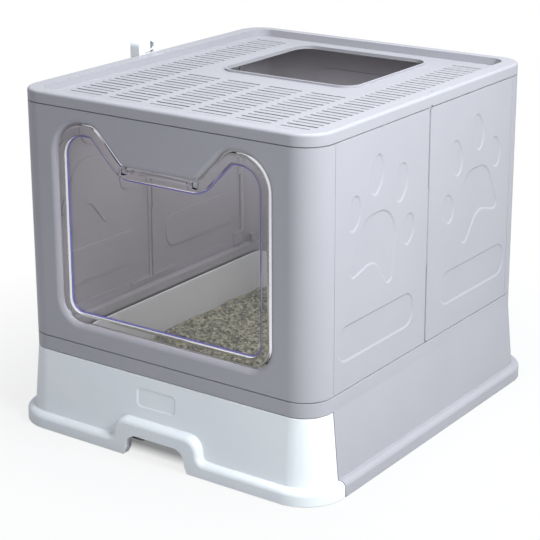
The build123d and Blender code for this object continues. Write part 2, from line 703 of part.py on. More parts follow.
def side_panel(side, half):
    """Half of a side wall: side is -1 left or 1 right, half is -1 front or 1 rear."""
    mine, others = (END_KNUCKLES, SIDE_KNUCKLES) if half > 0 else (SIDE_KNUCKLES, END_KNUCKLES)
    length = CORNER_AXIS_Y - 2 * PANEL_GAP
    mid_y = half * CORNER_AXIS_Y / 2
    corner = (side * CORNER_AXIS_X, half * CORNER_AXIS_Y)
    loose = side > 0 > half
    bore = PIN_R + (OPEN_PIVOT_CLEAR if loose else PIN_CLEAR)
    outer_face = Plane(origin=(side * HALF_W, 0, 0), x_dir=(0, side, 0), z_dir=(side, 0, 0))
    with BuildPart() as panel:
        bands = [
            (0, WALL_T, WALL_Z0, WALL_Z1),
            (LAP_INSET, LAP_IN, LAP_BOTTOM_Z, WALL_Z0 + LAP_ROOT),
            (LAP_INSET, LAP_IN, WALL_Z1 - LAP_ROOT, LAP_TOP_Z),
        ]
        for outer, inner, low, high in bands:
            with BuildSketch(Plane.XY.offset(low)):
                with Locations((side * (HALF_W - (outer + inner) / 2), mid_y)):
                    Rectangle(inner - outer, length)
            extrude(amount=high - low)
        # Field and paw are sunk outside and stand proud inside
        for motif in side_motif(side * half, BOSS_GROW):
            with BuildSketch(outer_face.offset(-WALL_T)):
                add(motif)
            extrude(amount=-DEBOSS)
        for motif in side_motif(side * half, 0):
            with BuildSketch(outer_face):
                add(motif)
            extrude(amount=-DEBOSS, mode=Mode.SUBTRACT)
        # Rib along the mid edge and a tab at its foot, both on the inner face
        ribs = [(MID_RIB_T, MID_RIB_W, WALL_H), (FOOT_TAB_T, FOOT_TAB_L, FOOT_TAB_H)]
        for thick, wide, high in ribs:
            with BuildSketch(Plane.XY.offset(WALL_Z0)):
                with Locations((side * (WALL_IN - thick / 2), half * (PANEL_GAP + wide / 2))):
                    Rectangle(thick, wide)
            extrude(amount=high)
        # Outer faces step back beside the mid hinge, so that they can close on each other
        with BuildSketch(Plane.XY.offset(LAP_BOTTOM_Z)):
            with Locations((side * (HALF_W - MID_RELIEF_DEPTH + WALL_T / 2), 0)):
                Rectangle(WALL_T, 2 * MID_RELIEF)
        extrude(amount=LAP_TOP_Z, mode=Mode.SUBTRACT)
        for index in others:
            low, high = hinge_span(index, free=HINGE_FREE)
            with BuildSketch(Plane.XY.offset(low)):
                with Locations((side * MID_AXIS_X, 0)):
                    Rectangle(4 * WALL_T, 2 * (MID_BARREL_R + HINGE_FREE))
            extrude(amount=high - low, mode=Mode.SUBTRACT)
        for index in mine:
            low, high = hinge_span(index)
            add(axis_rod(side * MID_AXIS_X, 0, MID_BARREL_R, low, high))
        add(axis_rod(side * MID_AXIS_X, 0, MID_PIN_R + PIN_CLEAR, 0, LAP_TOP_Z), mode=Mode.SUBTRACT)
        head_r = MID_PIN_HEAD_R + HINGE_FREE
        add(axis_rod(side * MID_AXIS_X, 0, head_r, KNUCKLE_TOP_Z, LAP_TOP_Z + 1), mode=Mode.SUBTRACT)
        # Knuckles on the corner axis
        add(corner_reliefs(side, half, END_KNUCKLES), mode=Mode.SUBTRACT)
        add(corner_knuckles(side, half, SIDE_KNUCKLES, -half))
        add(axis_rod(*corner, bore, 0, LAP_TOP_Z), mode=Mode.SUBTRACT)
        add(axis_rod(*corner, PIN_HEAD_R + HINGE_FREE, KNUCKLE_TOP_Z, LAP_TOP_Z + 1), mode=Mode.SUBTRACT)
    return panel.part


SIDES = {"left": -1, "right": 1}
HALVES = {"front": -1, "rear": 1}
for side_name, side in SIDES.items():
    for half_name, half in HALVES.items():
        panel = side_panel(side, half)
        panel.label = f"{half_name}_{side_name}_panel"
        export_step(panel, f"parts/{panel.label}.step")
        pin = hinge_pin(side * CORNER_AXIS_X, half * CORNER_AXIS_Y, PIN_R, PIN_HEAD_R)
        pin.label = f"{half_name}_{side_name}_pin"
        export_step(pin, f"parts/{pin.label}.step")
    mid_pin = hinge_pin(side * MID_AXIS_X, 0, MID_PIN_R, MID_PIN_HEAD_R)
    mid_pin.label = f"mid_{side_name}_pin"
    export_step(mid_pin, f"parts/{mid_pin.label}.step")


def lug_gap(side):
    """Notch in the door's top edge round one lug of the front wall."""
    low_z = DOOR_AXIS_Z - DOOR_BARREL_R - LUG_FREE
    near, far = LUG_NEAR_X - LUG_FREE, LUG_FAR_X + LUG_FREE
    with BuildPart() as gap:
        with Locations((side * (near + far) / 2, DOOR_AXIS_Y, (low_z + TONGUE_Z) / 2)):
            Box(far - near, 4 * DOOR_BARREL_R, TONGUE_Z - low_z)
    return gap.part


# Door: clear plate with a thicker rim, a barrel on its top edge and two notches for the lugs
with BuildPart() as door:
    with BuildSketch(Plane.XZ.offset(-DOOR_AXIS_Y - DOOR_T / 2)):
        add(opening_face(DOOR_GAP))
    extrude(amount=DOOR_T)
    with BuildSketch(Plane.XZ.offset(-DOOR_AXIS_Y + DOOR_T / 2)):
        add(opening_face(DOOR_GAP + DOOR_RIM_W))
    extrude(amount=DOOR_PANE_T - DOOR_T, mode=Mode.SUBTRACT)
    with BuildSketch(Plane.YZ):
        with Locations((DOOR_AXIS_Y, DOOR_AXIS_Z)):
            Circle(DOOR_BARREL_R)
    extrude(amount=DOOR_BARREL_X, both=True)
    for side in SIDES.values():
        add(lug_gap(side), mode=Mode.SUBTRACT)
    with BuildSketch(Plane.YZ.offset(DOOR_BARREL_X)):
        with Locations((DOOR_AXIS_Y, DOOR_AXIS_Z)):
            Circle(PIN_R + PIN_CLEAR)
    extrude(amount=-DOOR_PIN_IN, mode=Mode.SUBTRACT)
    with BuildSketch(Plane.YZ.offset(-DOOR_BARREL_X)):
        with Locations((DOOR_AXIS_Y, DOOR_AXIS_Z)):
            Circle(PIN_R + PIN_CLEAR)
    extrude(amount=DOOR_PIN_IN, mode=Mode.SUBTRACT)
door.part.label = "door"
export_step(door.part, "parts/door.step")

# Stub pins of the door, each with a head against the outer face of its lug
for side_name, side in SIDES.items():
    with BuildPart() as door_pin:
        inner_x = DOOR_BARREL_X - DOOR_PIN_IN + LUG_FREE
        with BuildSketch(Plane.YZ.offset(side * inner_x)):
            with Locations((DOOR_AXIS_Y, DOOR_AXIS_Z)):
                Circle(PIN_R)
        extrude(amount=side * (LUG_FAR_X - inner_x))
        with BuildSketch(Plane.YZ.offset(side * LUG_FAR_X)):
            with Locations((DOOR_AXIS_Y, DOOR_AXIS_Z)):
                Circle(DOOR_PIN_HEAD_R)
        extrude(amount=side * DOOR_PIN_HEAD_T)
    door_pin.part.label = f"door_pin_{side_name}"
    export_step(door_pin.part, f"parts/{door_pin.part.label}.step")


def dish_outline(grow):
    """Plan of the lid's sunk pan, grown by a margin."""
    RectangleRounded(
        BODY_W - 2 * LID_RIM_SIDE + 2 * grow, BODY_D - 2 * LID_RIM_FRONT + 2 * grow, LID_PAN_R + grow
    )


def exit_outline(grow):
    """Plan of the way out in the lid, grown by its bead."""
    with Locations((0, (EXIT_FRONT_Y + EXIT_BACK_Y) / 2)):
        RectangleRounded(EXIT_W + 2 * grow, EXIT_BACK_Y - EXIT_FRONT_Y + 2 * grow, EXIT_R + grow)


# Lid: skirt and raised rim round a sunk slotted pan, with a beaded way out for the cat at the back
with BuildPart() as lid:
    with BuildSketch(Plane.XY.offset(LID_Z0)):
        plan_outline(0)
    extrude(amount=LID_H)
    fillet(lid.faces().sort_by(Axis.Z)[-1].edges(), LID_EDGE_R)
    with BuildSketch(Plane.XY.offset(PAN_Z)):
        dish_outline(0)
    extrude(amount=LID_DISH, mode=Mode.SUBTRACT)
    with BuildSketch(Plane.XY.offset(LID_Z0)):
        plan_outline(RIM_T)
    extrude(amount=LID_H - LID_DISH - LID_PAN_T, mode=Mode.SUBTRACT)
    with BuildSketch(Plane.XY.offset(LID_Z0)):
        plan_outline(RIM_T)
        with BuildSketch(mode=Mode.SUBTRACT):
            dish_outline(LID_T)
    extrude(amount=LID_H - LID_T, mode=Mode.SUBTRACT)
    with BuildSketch(Plane.XY.offset(PAN_Z - LID_PAN_T)):
        exit_outline(EXIT_BEAD_T)
    extrude(amount=LID_PAN_T + EXIT_BEAD_H)
    with BuildSketch(Plane.XY.offset(PAN_Z - LID_PAN_T)):
        exit_outline(0)
    extrude(amount=LID_PAN_T + EXIT_BEAD_H, mode=Mode.SUBTRACT)
    # Slots: pairs of a narrow and a wide row, in four short columns before the way out and two beside it
    with BuildSketch(Plane.XY.offset(PAN_Z - LID_PAN_T)):
        for width, start_y in ((SLOT_NARROW_W, SLOT_FIRST_Y), (SLOT_W, SLOT_FIRST_Y + SLOT_PAIR_Y / 2)):
            with Locations((0, start_y + SLOT_PAIR_Y * (SLOT_PAIRS_FRONT - 1) / 2)):
                with GridLocations(SLOT_PITCH_X, SLOT_PAIR_Y, SLOT_COLUMNS - 2, SLOT_PAIRS_FRONT):
                    Rectangle(SLOT_L, width)
            with Locations((0, start_y + SLOT_PAIR_Y * (SLOT_PAIRS_SIDE - 1) / 2)):
                with GridLocations((SLOT_COLUMNS - 1) * SLOT_PITCH_X, SLOT_PAIR_Y, 2, SLOT_PAIRS_SIDE):
                    Rectangle(SLOT_L, width)
    extrude(amount=LID_PAN_T, mode=Mode.SUBTRACT)
    # Ribs behind the back wall's edge, small slots in the rim, and notches over the mid hinges
    rib_top = LID_Z1 - LID_T
    rib_bottom = LID_Z0 - RIB_DROP
    rib_y = HALF_D - LAP_IN - RIB_FREE - RIB_T / 2
    with Locations((-RIB_X, rib_y, (rib_top + rib_bottom) / 2), (RIB_X, rib_y, (rib_top + rib_bottom) / 2)):
        Box(RIB_W, RIB_T, rib_top - rib_bottom)
    hole_x = HALF_W - RIM_HOLE_IN
    with BuildSketch(Plane.XY.offset(LID_Z1)):
        with Locations((-hole_x, SCOOP_Y), (hole_x, SCOOP_Y)):
            SlotOverall(RIM_HOLE_L, RIM_HOLE_W, rotation=90)
    extrude(amount=-RIM_HOLE_DEPTH, mode=Mode.SUBTRACT)
    with Locations((0, 0, LID_Z0)):
        Box(FAR, BARREL_NOTCH_W, 2 * BARREL_NOTCH_H, mode=Mode.SUBTRACT)
    # Window in the left skirt for the scoop's hook
    with Locations((-HALF_W, SCOOP_Y, HOOK_Z + HOOK_T / 2)):
        Box(4 * RIM_T, HOOK_W + 2 * HOOK_FREE, HOOK_T + 2 * HOOK_FREE, mode=Mode.SUBTRACT)
lid.part.label = "lid"
export_step(lid.part, "parts/lid.step")

# Hook: a tongue through the lid's skirt, held by a foot inside it
with BuildPart() as scoop_hook:
    foot_x = -HALF_W + RIM_T
    with Locations((foot_x + HOOK_FOOT_T / 2, SCOOP_Y, HOOK_Z + HOOK_T / 2)):
        Box(HOOK_FOOT_T, HOOK_W + 2 * HOOK_FOOT_GROW, HOOK_T + HOOK_FOOT_GROW)
    with Locations((foot_x - (HOOK_REACH + RIM_T) / 2, SCOOP_Y, HOOK_Z + HOOK_T / 2)):
        Box(HOOK_REACH + RIM_T, HOOK_W, HOOK_T)
scoop_hook.part.label = "scoop_hook"
export_step(scoop_hook.part, "parts/scoop_hook.step")


def scoop_plate(width, low, high, radius, inset, near, depth):
    """Upright block of the scoop's outline with rounded upper corners, from near the wall outwards."""
    half = width / 2 - inset
    with BuildPart() as plate:
        with BuildSketch(Plane.YZ.offset(SCOOP_X - near)):
            with BuildLine():
                FilletPolyline(
                    (SCOOP_Y - half, low),
                    (SCOOP_Y - half, high - inset),
                    (SCOOP_Y + half, high - inset),
                    (SCOOP_Y + half, low),
                    radius=[radius - inset, radius - inset],
                )
                Line((SCOOP_Y + half, low), (SCOOP_Y - half, low))
            make_face()
        extrude(amount=-depth)
    return plate.part


# Scoop: hollow handle with a hanging hole, over a slotted basket that is open below and outwards
with BuildPart() as scoop:
    add(scoop_plate(HANDLE_W, BLADE_TOP_Z - SCOOP_T, HANDLE_TOP_Z, HANDLE_R, 0, 0, HANDLE_D))
    add(scoop_plate(BLADE_W, BLADE_BOTTOM_Z, BLADE_TOP_Z, BLADE_R, 0, 0, BLADE_D))
    add(
        scoop_plate(HANDLE_W, BLADE_TOP_Z, HANDLE_TOP_Z, HANDLE_R, SCOOP_T, SCOOP_T, BLADE_D),
        mode=Mode.SUBTRACT,
    )
    add(
        scoop_plate(BLADE_W, BLADE_BOTTOM_Z - 1, BLADE_TOP_Z, BLADE_R, SCOOP_T, SCOOP_T, BLADE_D),
        mode=Mode.SUBTRACT,
    )
    # The basket's sides slope down to a low lip
    with BuildSketch(Plane.XZ.offset(BLADE_W)):
        with BuildLine():
            Polyline(
                (SCOOP_X - BLADE_LIP_D, BLADE_BOTTOM_Z),
                (SCOOP_X - BLADE_D, BLADE_BOTTOM_Z + BLADE_SLOPE_L),
                (SCOOP_X - 2 * BLADE_D, BLADE_BOTTOM_Z + BLADE_SLOPE_L),
                (SCOOP_X - 2 * BLADE_D, BLADE_BOTTOM_Z - 1),
                (SCOOP_X - BLADE_LIP_D, BLADE_BOTTOM_Z - 1),
                close=True,
            )
        make_face()
    extrude(amount=-3 * BLADE_W, mode=Mode.SUBTRACT)
    rest_z = HOOK_Z + HOOK_T + HOOK_FREE + REST_RIB_T / 2
    with Locations((SCOOP_X - SCOOP_T - REST_RIB_D / 2, SCOOP_Y, rest_z)):
        Box(REST_RIB_D, HANDLE_W - SCOOP_T, REST_RIB_T)
    with BuildSketch(Plane.YZ.offset(SCOOP_X)):
        with Locations((SCOOP_Y, HANDLE_TOP_Z - HANG_HOLE_DROP)):
            Ellipse(HANG_HOLE_L / 2, HANG_HOLE_H / 2)
        with Locations((SCOOP_Y, HOOK_Z - HOOK_FREE + HOOK_SLOT_H / 2)):
            RectangleRounded(HOOK_SLOT_L, HOOK_SLOT_H, 1.0)
        with Locations((SCOOP_Y, BLADE_BOTTOM_Z + BLADE_L / 2)):
            with GridLocations(SCOOP_SLOT_PITCH, 1, SCOOP_SLOTS, 1):
                Rectangle(SCOOP_SLOT_W, SCOOP_SLOT_L)
    extrude(amount=-SCOOP_T, mode=Mode.SUBTRACT)
scoop.part.label = "scoop"
export_step(scoop.part, "parts/scoop.step")

# Catches that hold the rear side panels straight: a block on each panel and a keeper on the ledge
for side_name, side in SIDES.items():
    with BuildPart() as catch:
        face_x = HALF_W - LAP_IN
        low_z = LAP_BOTTOM_Z + CATCH_LIFT
        block_y = CORNER_AXIS_Y - CATCH_NEAR - CATCH_L / 2
        with Locations((side * (face_x - CATCH_T / 2), block_y, low_z + CATCH_H / 2)):
            Box(CATCH_T, CATCH_L, CATCH_H)
        fillet(catch.edges().filter_by(Axis.X), CATCH_ROUND)
    catch.part.label = f"wall_catch_{side_name}"
    export_step(catch.part, f"parts/{catch.part.label}.step")
    with BuildPart() as keeper:
        keeper_x = HALF_W - LEDGE_W + KEEPER_D / 2
        keeper_y = CORNER_AXIS_Y + KEEPER_NEAR + KEEPER_L / 2
        with Locations((side * keeper_x, keeper_y, LEDGE_Z + KEEPER_H / 2)):
            Box(KEEPER_D, KEEPER_L, KEEPER_H)
            Box(KEEPER_D - KEEPER_T, KEEPER_L, KEEPER_H - 2 * KEEPER_T, mode=Mode.SUBTRACT)
    keeper.part.label = f"keeper_{side_name}"
    export_step(keeper.part, f"parts/{keeper.part.label}.step")
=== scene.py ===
import logging
import math
import random
from dataclasses import dataclass
from enum import Enum

import bmesh
import bpy
from mathutils import Matrix, Vector, noise


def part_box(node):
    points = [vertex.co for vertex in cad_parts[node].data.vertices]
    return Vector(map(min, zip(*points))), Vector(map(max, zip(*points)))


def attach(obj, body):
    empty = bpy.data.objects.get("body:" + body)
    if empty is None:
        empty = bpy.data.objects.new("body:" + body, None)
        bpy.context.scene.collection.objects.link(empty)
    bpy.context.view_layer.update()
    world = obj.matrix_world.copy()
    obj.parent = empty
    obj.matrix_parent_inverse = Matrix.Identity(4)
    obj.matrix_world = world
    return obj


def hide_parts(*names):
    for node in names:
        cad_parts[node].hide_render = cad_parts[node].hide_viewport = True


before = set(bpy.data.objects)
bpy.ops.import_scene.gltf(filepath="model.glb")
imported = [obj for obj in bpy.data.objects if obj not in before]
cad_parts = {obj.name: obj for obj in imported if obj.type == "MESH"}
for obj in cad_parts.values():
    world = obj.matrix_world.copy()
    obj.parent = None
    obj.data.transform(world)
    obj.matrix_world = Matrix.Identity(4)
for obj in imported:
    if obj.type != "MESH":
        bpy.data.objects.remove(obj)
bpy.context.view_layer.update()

# Foldable litter box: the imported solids, dressed. All lengths are in metres unless a name ends in mm.

LOG = logging.getLogger("litter_box")
MM = 0.001
MERGE_DISTANCE = 2e-6
COPLANAR = math.radians(0.6)
SHARP = math.radians(32)
# Corners closer to a plane than this lie in it
IN_PLANE = 5e-6
# A panel's outer skin has faces over this many square metres
SKIN_AREA = 1e-3
# Least cosine between the normal of a face and a direction that it looks in
FACING = 0.999
# Least cosine between the normals of two faces in one plane
SAME_PLANE = 0.9999
# Steps across an eased edge, and the profile of a quarter circle
EASE_SEGMENTS = 2
ROUND_PROFILE = 0.5
# Over 50, the shading of a corner follows its larger faces
FLAT_WEIGHT = 60


class Slot(Enum):
    """Material slots of the record."""

    GREY = "grey_plastic"
    WHITE = "white_plastic"
    CLEAR = "clear_plastic"
    LITTER = "litter"
    PIN = "pin_plastic"


def linear(code: str) -> tuple[float, float, float, float]:
    """Turns an sRGB hex value into the linear colour that shaders take.

    Args:
        code: Colour as "#RRGGBB".

    Returns:
        Linear red, green and blue, and 1 for alpha.
    """
    channels = [int(code[i:i + 2], 16) / 255 for i in (1, 3, 5)]
    red, green, blue = [c / 12.92 if c <= 0.04045 else ((c + 0.055) / 1.055) ** 2.4 for c in channels]
    return red, green, blue, 1.0


def add_node(tree: bpy.types.NodeTree, kind: str, links: dict | None = None, **settings) -> bpy.types.Node:
    """Adds one shader node with its settings and links.

    Args:
        tree: Node tree that gets the node.
        kind: Blender's type name of the node.
        links: Input name or number, each with an output socket or a plain value.
        settings: Attributes of the node itself, such as operation.

    Returns:
        The new node.
    """
    node = tree.nodes.new(kind)
    for name, value in settings.items():
        setattr(node, name, value)
    for name, value in (links or {}).items():
        if isinstance(value, bpy.types.NodeSocket):
            tree.links.new(value, node.inputs[name])
        else:
            node.inputs[name].default_value = value
    return node


def new_material(name: str) -> tuple[bpy.types.Material, bpy.types.NodeTree]:
    """Makes an empty node material.

    Args:
        name: Name of the material.

    Returns:
        The material and its node tree.
    """
    material = bpy.data.materials.new(name)
    material.use_nodes = True
    material.node_tree.nodes.clear()
    return material, material.node_tree


def per_metre(size_mm: float) -> float:
    """Texture scale that gives features of about this size in millimetres."""
    return 1 / (size_mm * MM)


@dataclass(frozen=True)
class MouldedPolypropylene:
    """Injection-moulded polypropylene with a fine spark-eroded texture.

    The mould's texture gives a satin sheen without sharp reflections, a faint flow mottle and a slightly
    uneven gloss, and the pull of the ribs behind a wall leaves a very shallow waviness.
    """

    name: str
    colour: str
    shade: str
    roughness: float = 0.44
    specular: float = 0.5
    # The real texture is about 0.1 mm wide, drawn coarser so that it shows
    texture_mm: float = 0.9
    texture_depth_mm: float = 0.012
    waviness_mm: float = 34.0
    waviness_depth_mm: float = 0.05
    mottle_mm: float = 90.0
    # Parts of the mottle's noise over which the colour and the gloss change from end to end
    tone_range: tuple[float, float] = (0.35, 0.65)
    gloss_range: tuple[float, float] = (0.3, 0.7)
    # How far the roughness falls and rises with the mottle
    smoother: float = 0.03
    rougher: float = 0.04
    ior: float = 1.49

    def build(self) -> bpy.types.Material:
        """Builds the node material.

        Returns:
            The material.
        """
        material, tree = new_material(self.name)
        place = add_node(tree, "ShaderNodeTexCoord").outputs["Object"]
        mottle = add_node(tree, "ShaderNodeTexNoise", {
            "Vector": place, "Scale": per_metre(self.mottle_mm), "Detail": 3.0,
        })
        tone = add_node(tree, "ShaderNodeMapRange", {
            "Value": mottle.outputs["Fac"], "From Min": self.tone_range[0], "From Max": self.tone_range[1],
            "To Min": 0.0, "To Max": 1.0,
        })
        colour = add_node(tree, "ShaderNodeMix", {
            "Factor": tone.outputs["Result"], "A": linear(self.colour), "B": linear(self.shade),
        }, data_type="RGBA")
        grain = add_node(tree, "ShaderNodeTexNoise", {
            "Vector": place, "Scale": per_metre(self.texture_mm), "Detail": 2.0,
        })
        gloss = add_node(tree, "ShaderNodeMapRange", {
            "Value": mottle.outputs["Fac"], "From Min": self.gloss_range[0], "From Max": self.gloss_range[1],
            "To Min": self.roughness - self.smoother, "To Max": self.roughness + self.rougher,
        })
        wave = add_node(tree, "ShaderNodeTexNoise", {
            "Vector": place, "Scale": per_metre(self.waviness_mm), "Detail": 1.0,
        })
        swell = add_node(tree, "ShaderNodeBump", {
            "Height": wave.outputs["Fac"], "Distance": self.waviness_depth_mm * MM, "Strength": 1.0,
        })
        skin = add_node(tree, "ShaderNodeBump", {
            "Height": grain.outputs["Fac"], "Distance": self.texture_depth_mm * MM, "Strength": 1.0,
            "Normal": swell.outputs["Normal"],
        })
        shader = add_node(tree, "ShaderNodeBsdfPrincipled", {
            "Base Color": colour.outputs[2], "Roughness": gloss.outputs["Result"],
            "IOR": self.ior, "Specular IOR Level": self.specular, "Normal": skin.outputs["Normal"],
        })
        add_node(tree, "ShaderNodeOutputMaterial", {"Surface": shader.outputs["BSDF"]})
        return material


@dataclass(frozen=True)
class ClearPolystyrene:
    """Clear smoke-tinted polystyrene, moulded in a polished tool.

    It is glossy and clear, and its thick rim and edges bend the view and gather light.
    """

    name: str = "Smoke-tinted clear polystyrene"
    tint: str = "#F3F1F4"
    # What the plate leaves of a lamp's light, which the renderer would otherwise stop at it
    passed: str = "#F3F2F4"
    transmission: float = 1.0
    roughness: float = 0.02
    # Less than polystyrene's usual 1.59
    ior: float = 1.5
    waviness_mm: float = 55.0
    waviness_depth_mm: float = 0.03

    def build(self) -> bpy.types.Material:
        """Builds the node material.

        Returns:
            The material.
        """
        material, tree = new_material(self.name)
        place = add_node(tree, "ShaderNodeTexCoord").outputs["Object"]
        wave = add_node(tree, "ShaderNodeTexNoise", {
            "Vector": place, "Scale": per_metre(self.waviness_mm), "Detail": 1.0,
        })
        swell = add_node(tree, "ShaderNodeBump", {
            "Height": wave.outputs["Fac"], "Distance": self.waviness_depth_mm * MM, "Strength": 1.0,
        })
        shader = add_node(tree, "ShaderNodeBsdfPrincipled", {
            "Base Color": linear(self.tint), "Roughness": self.roughness, "IOR": self.ior,
            "Transmission Weight": self.transmission, "Normal": swell.outputs["Normal"],
        })
        through = add_node(tree, "ShaderNodeBsdfTransparent", {"Color": linear(self.passed)})
        path = add_node(tree, "ShaderNodeLightPath")
        mixed = add_node(tree, "ShaderNodeMixShader", {
            0: path.outputs["Is Shadow Ray"], 1: shader.outputs["BSDF"], 2: through.outputs["BSDF"],
        })
        add_node(tree, "ShaderNodeOutputMaterial", {"Surface": mixed.outputs[0]})
        return material


@dataclass(frozen=True)
class ClayGranules:
    """Crushed and sieved clay and tofu litter.

    Each granule is matt and dusty, and they differ from grey green to sand, with some dark ones.
    """

    name: str = "Granulated clay litter"
    dark: str = "#3F4032"
    middle: str = "#7E7C68"
    pale: str = "#B0AE94"
    granule_mm: float = 3.6
    dust_mm: float = 0.7
    dust_depth_mm: float = 0.15
    roughness: float = 0.95
    specular: float = 0.2

    def build(self) -> bpy.types.Material:
        """Builds the node material.

        Returns:
            The material.
        """
        material, tree = new_material(self.name)
        place = add_node(tree, "ShaderNodeTexCoord").outputs["Object"]
        cells = add_node(tree, "ShaderNodeTexVoronoi", {
            "Vector": place, "Scale": per_metre(self.granule_mm),
        })
        split = add_node(tree, "ShaderNodeSeparateColor", {"Color": cells.outputs["Color"]})
        ramp = add_node(tree, "ShaderNodeValToRGB", {"Fac": split.outputs["Red"]})
        stops = ramp.color_ramp
        stops.elements[0].color = linear(self.dark)
        stops.elements[1].color = linear(self.pale)
        stops.elements.new(0.5).color = linear(self.middle)
        dust = add_node(tree, "ShaderNodeTexNoise", {
            "Vector": place, "Scale": per_metre(self.dust_mm), "Detail": 3.0,
        })
        rough = add_node(tree, "ShaderNodeBump", {
            "Height": dust.outputs["Fac"], "Distance": self.dust_depth_mm * MM, "Strength": 1.0,
        })
        shader = add_node(tree, "ShaderNodeBsdfPrincipled", {
            "Base Color": ramp.outputs["Color"], "Roughness": self.roughness,
            "Specular IOR Level": self.specular,
            "Normal": rough.outputs["Normal"],
        })
        add_node(tree, "ShaderNodeOutputMaterial", {"Surface": shader.outputs["BSDF"]})
        return material


@dataclass(frozen=True)
class StudioPaper:
    """Seamless white background paper, matt and even.

    It is white to the camera, half as strong in reflections and through clear plastic, and it keeps the
    object's shadow.
    """

    name: str = "Matt white background paper"
    colour: str = "#BCBCBC"
    # How much of the view of the paper is plain white near the object, the rest keeps the shadow
    plain_share: float = 0.82
    # Distances from the middle between which the share grows to all of it
    near: float = 0.33
    far: float = 0.62
    # The box stands on this half width and half depth, where the paper keeps more of its shadow
    stand: tuple[float, float, float] = (0.2, 0.235, 0.0)
    stand_share: float = 0.25
    stand_fade: float = 0.02

    def build(self) -> bpy.types.Material:
        """Builds the node material.

        Returns:
            The material.
        """
        material, tree = new_material(self.name)
        paper = add_node(tree, "ShaderNodeBsdfDiffuse", {"Color": linear(self.colour), "Roughness": 1.0})
        white = add_node(tree, "ShaderNodeEmission", {"Color": linear("#FFFFFF"), "Strength": 1.0})
        place = add_node(tree, "ShaderNodeTexCoord").outputs["Object"]
        away = add_node(tree, "ShaderNodeVectorMath", {0: place}, operation="LENGTH")
        plain = add_node(tree, "ShaderNodeMapRange", {
            "Value": away.outputs["Value"], "From Min": self.near, "From Max": self.far,
            "To Min": self.plain_share, "To Max": 1.0,
        })
        half = add_node(tree, "ShaderNodeVectorMath", {0: place}, operation="ABSOLUTE")
        beyond = add_node(tree, "ShaderNodeVectorMath", {
            0: half.outputs[0], 1: self.stand,
        }, operation="SUBTRACT")
        axes = add_node(tree, "ShaderNodeSeparateXYZ", {"Vector": beyond.outputs[0]})
        past = add_node(tree, "ShaderNodeMath", {
            0: axes.outputs["X"], 1: axes.outputs["Y"],
        }, operation="MAXIMUM")
        open_floor = add_node(tree, "ShaderNodeMapRange", {
            "Value": past.outputs[0], "From Min": -self.stand_fade, "From Max": 0.0,
            "To Min": self.stand_share, "To Max": 1.0,
        })
        shown = add_node(tree, "ShaderNodeMath", {
            0: plain.outputs["Result"], 1: open_floor.outputs["Result"],
        }, operation="MULTIPLY")
        share = add_node(tree, "ShaderNodeMath", {
            0: seen_directly(tree), 1: shown.outputs[0],
        }, operation="MULTIPLY")
        mixed = add_node(tree, "ShaderNodeMixShader", {
            0: share.outputs[0], 1: paper.outputs["BSDF"], 2: white.outputs["Emission"],
        })
        add_node(tree, "ShaderNodeOutputMaterial", {"Surface": mixed.outputs[0]})
        return material


def seen_directly(tree: bpy.types.NodeTree, mirrored: float = 0.5) -> bpy.types.NodeSocket:
    """Finds how much of the plain white backdrop a ray sees.

    Args:
        tree: Node tree that gets the nodes.
        mirrored: Share for the rays of reflections and of clear plastic.

    Returns:
        Socket that is 1 for the camera's rays, the share for those others, else 0.
    """
    path = add_node(tree, "ShaderNodeLightPath")
    either = add_node(tree, "ShaderNodeMath", {
        0: path.outputs["Is Glossy Ray"], 1: path.outputs["Is Transmission Ray"],
    }, operation="MAXIMUM")
    part = add_node(tree, "ShaderNodeMath", {0: either.outputs[0], 1: mirrored}, operation="MULTIPLY")
    return add_node(tree, "ShaderNodeMath", {
        0: path.outputs["Is Camera Ray"], 1: part.outputs[0],
    }, operation="MAXIMUM").outputs[0]


class Palette:
    """The finishes, built once, each with the record's slot that it belongs to."""

    def __init__(self) -> None:
        """Builds every finish."""
        self.materials = {
            Slot.GREY: MouldedPolypropylene("Satin light grey polypropylene", "#A4A1A7", "#A29FA5").build(),
            Slot.WHITE: MouldedPolypropylene(
                "Satin white polypropylene", "#E7E9EB", "#E4E6E9", roughness=0.36
            ).build(),
            Slot.CLEAR: ClearPolystyrene().build(),
            Slot.LITTER: ClayGranules().build(),
            Slot.PIN: MouldedPolypropylene(
                "Polished grey acetal", "#9C9DA4", "#999AA1", roughness=0.3
            ).build(),
        }
        # Seen along its length a thick clear edge looks deeper in colour than the plate, and its violet tint
        # also paints in the glint of light that the edge gathers and bends: a painted highlight
        self.painted_edge_glint = ClearPolystyrene(
            "Clear polystyrene tinted violet as a painted edge glint", tint="#8F89CC", roughness=0.12, transmission=0.55
        ).build()

    def dress(self, piece: bpy.types.Object, slot: Slot, finish: bpy.types.Material | None = None) -> None:
        """Gives a piece the finish of one slot, alone.

        Args:
            piece: Mesh object to dress.
            slot: The record's slot.
            finish: Another finish of the same slot, if the piece has one.
        """
        piece.data.materials.clear()
        piece.data.materials.append(finish or self.materials[slot])


def open_bmesh(mesh: bpy.types.Mesh | None = None) -> bmesh.types.BMesh:
    """Starts a bmesh.

    Args:
        mesh: Mesh that it copies, or nothing for an empty one.

    Returns:
        The bmesh.
    """
    shape = bmesh.new()
    if mesh is not None:
        shape.from_mesh(mesh)
    return shape


def finish_piece(name: str, shape: bmesh.types.BMesh, body: str) -> bpy.types.Object:
    """Turns a bmesh into a smooth-shaded piece that rides on a body.

    Args:
        name: Name of the piece.
        shape: The bmesh, which is freed.
        body: CAD body that carries the piece.

    Returns:
        The new object, at the origin.
    """
    mesh = bpy.data.meshes.new(name)
    for edge in shape.edges:
        edge.smooth = len(edge.link_faces) == 2 and edge.calc_face_angle(math.pi) < SHARP
    for face in shape.faces:
        face.smooth = True
    shape.to_mesh(mesh)
    shape.free()
    piece = bpy.data.objects.new(name, mesh)
    bpy.context.scene.collection.objects.link(piece)
    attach(piece, body)
    return piece


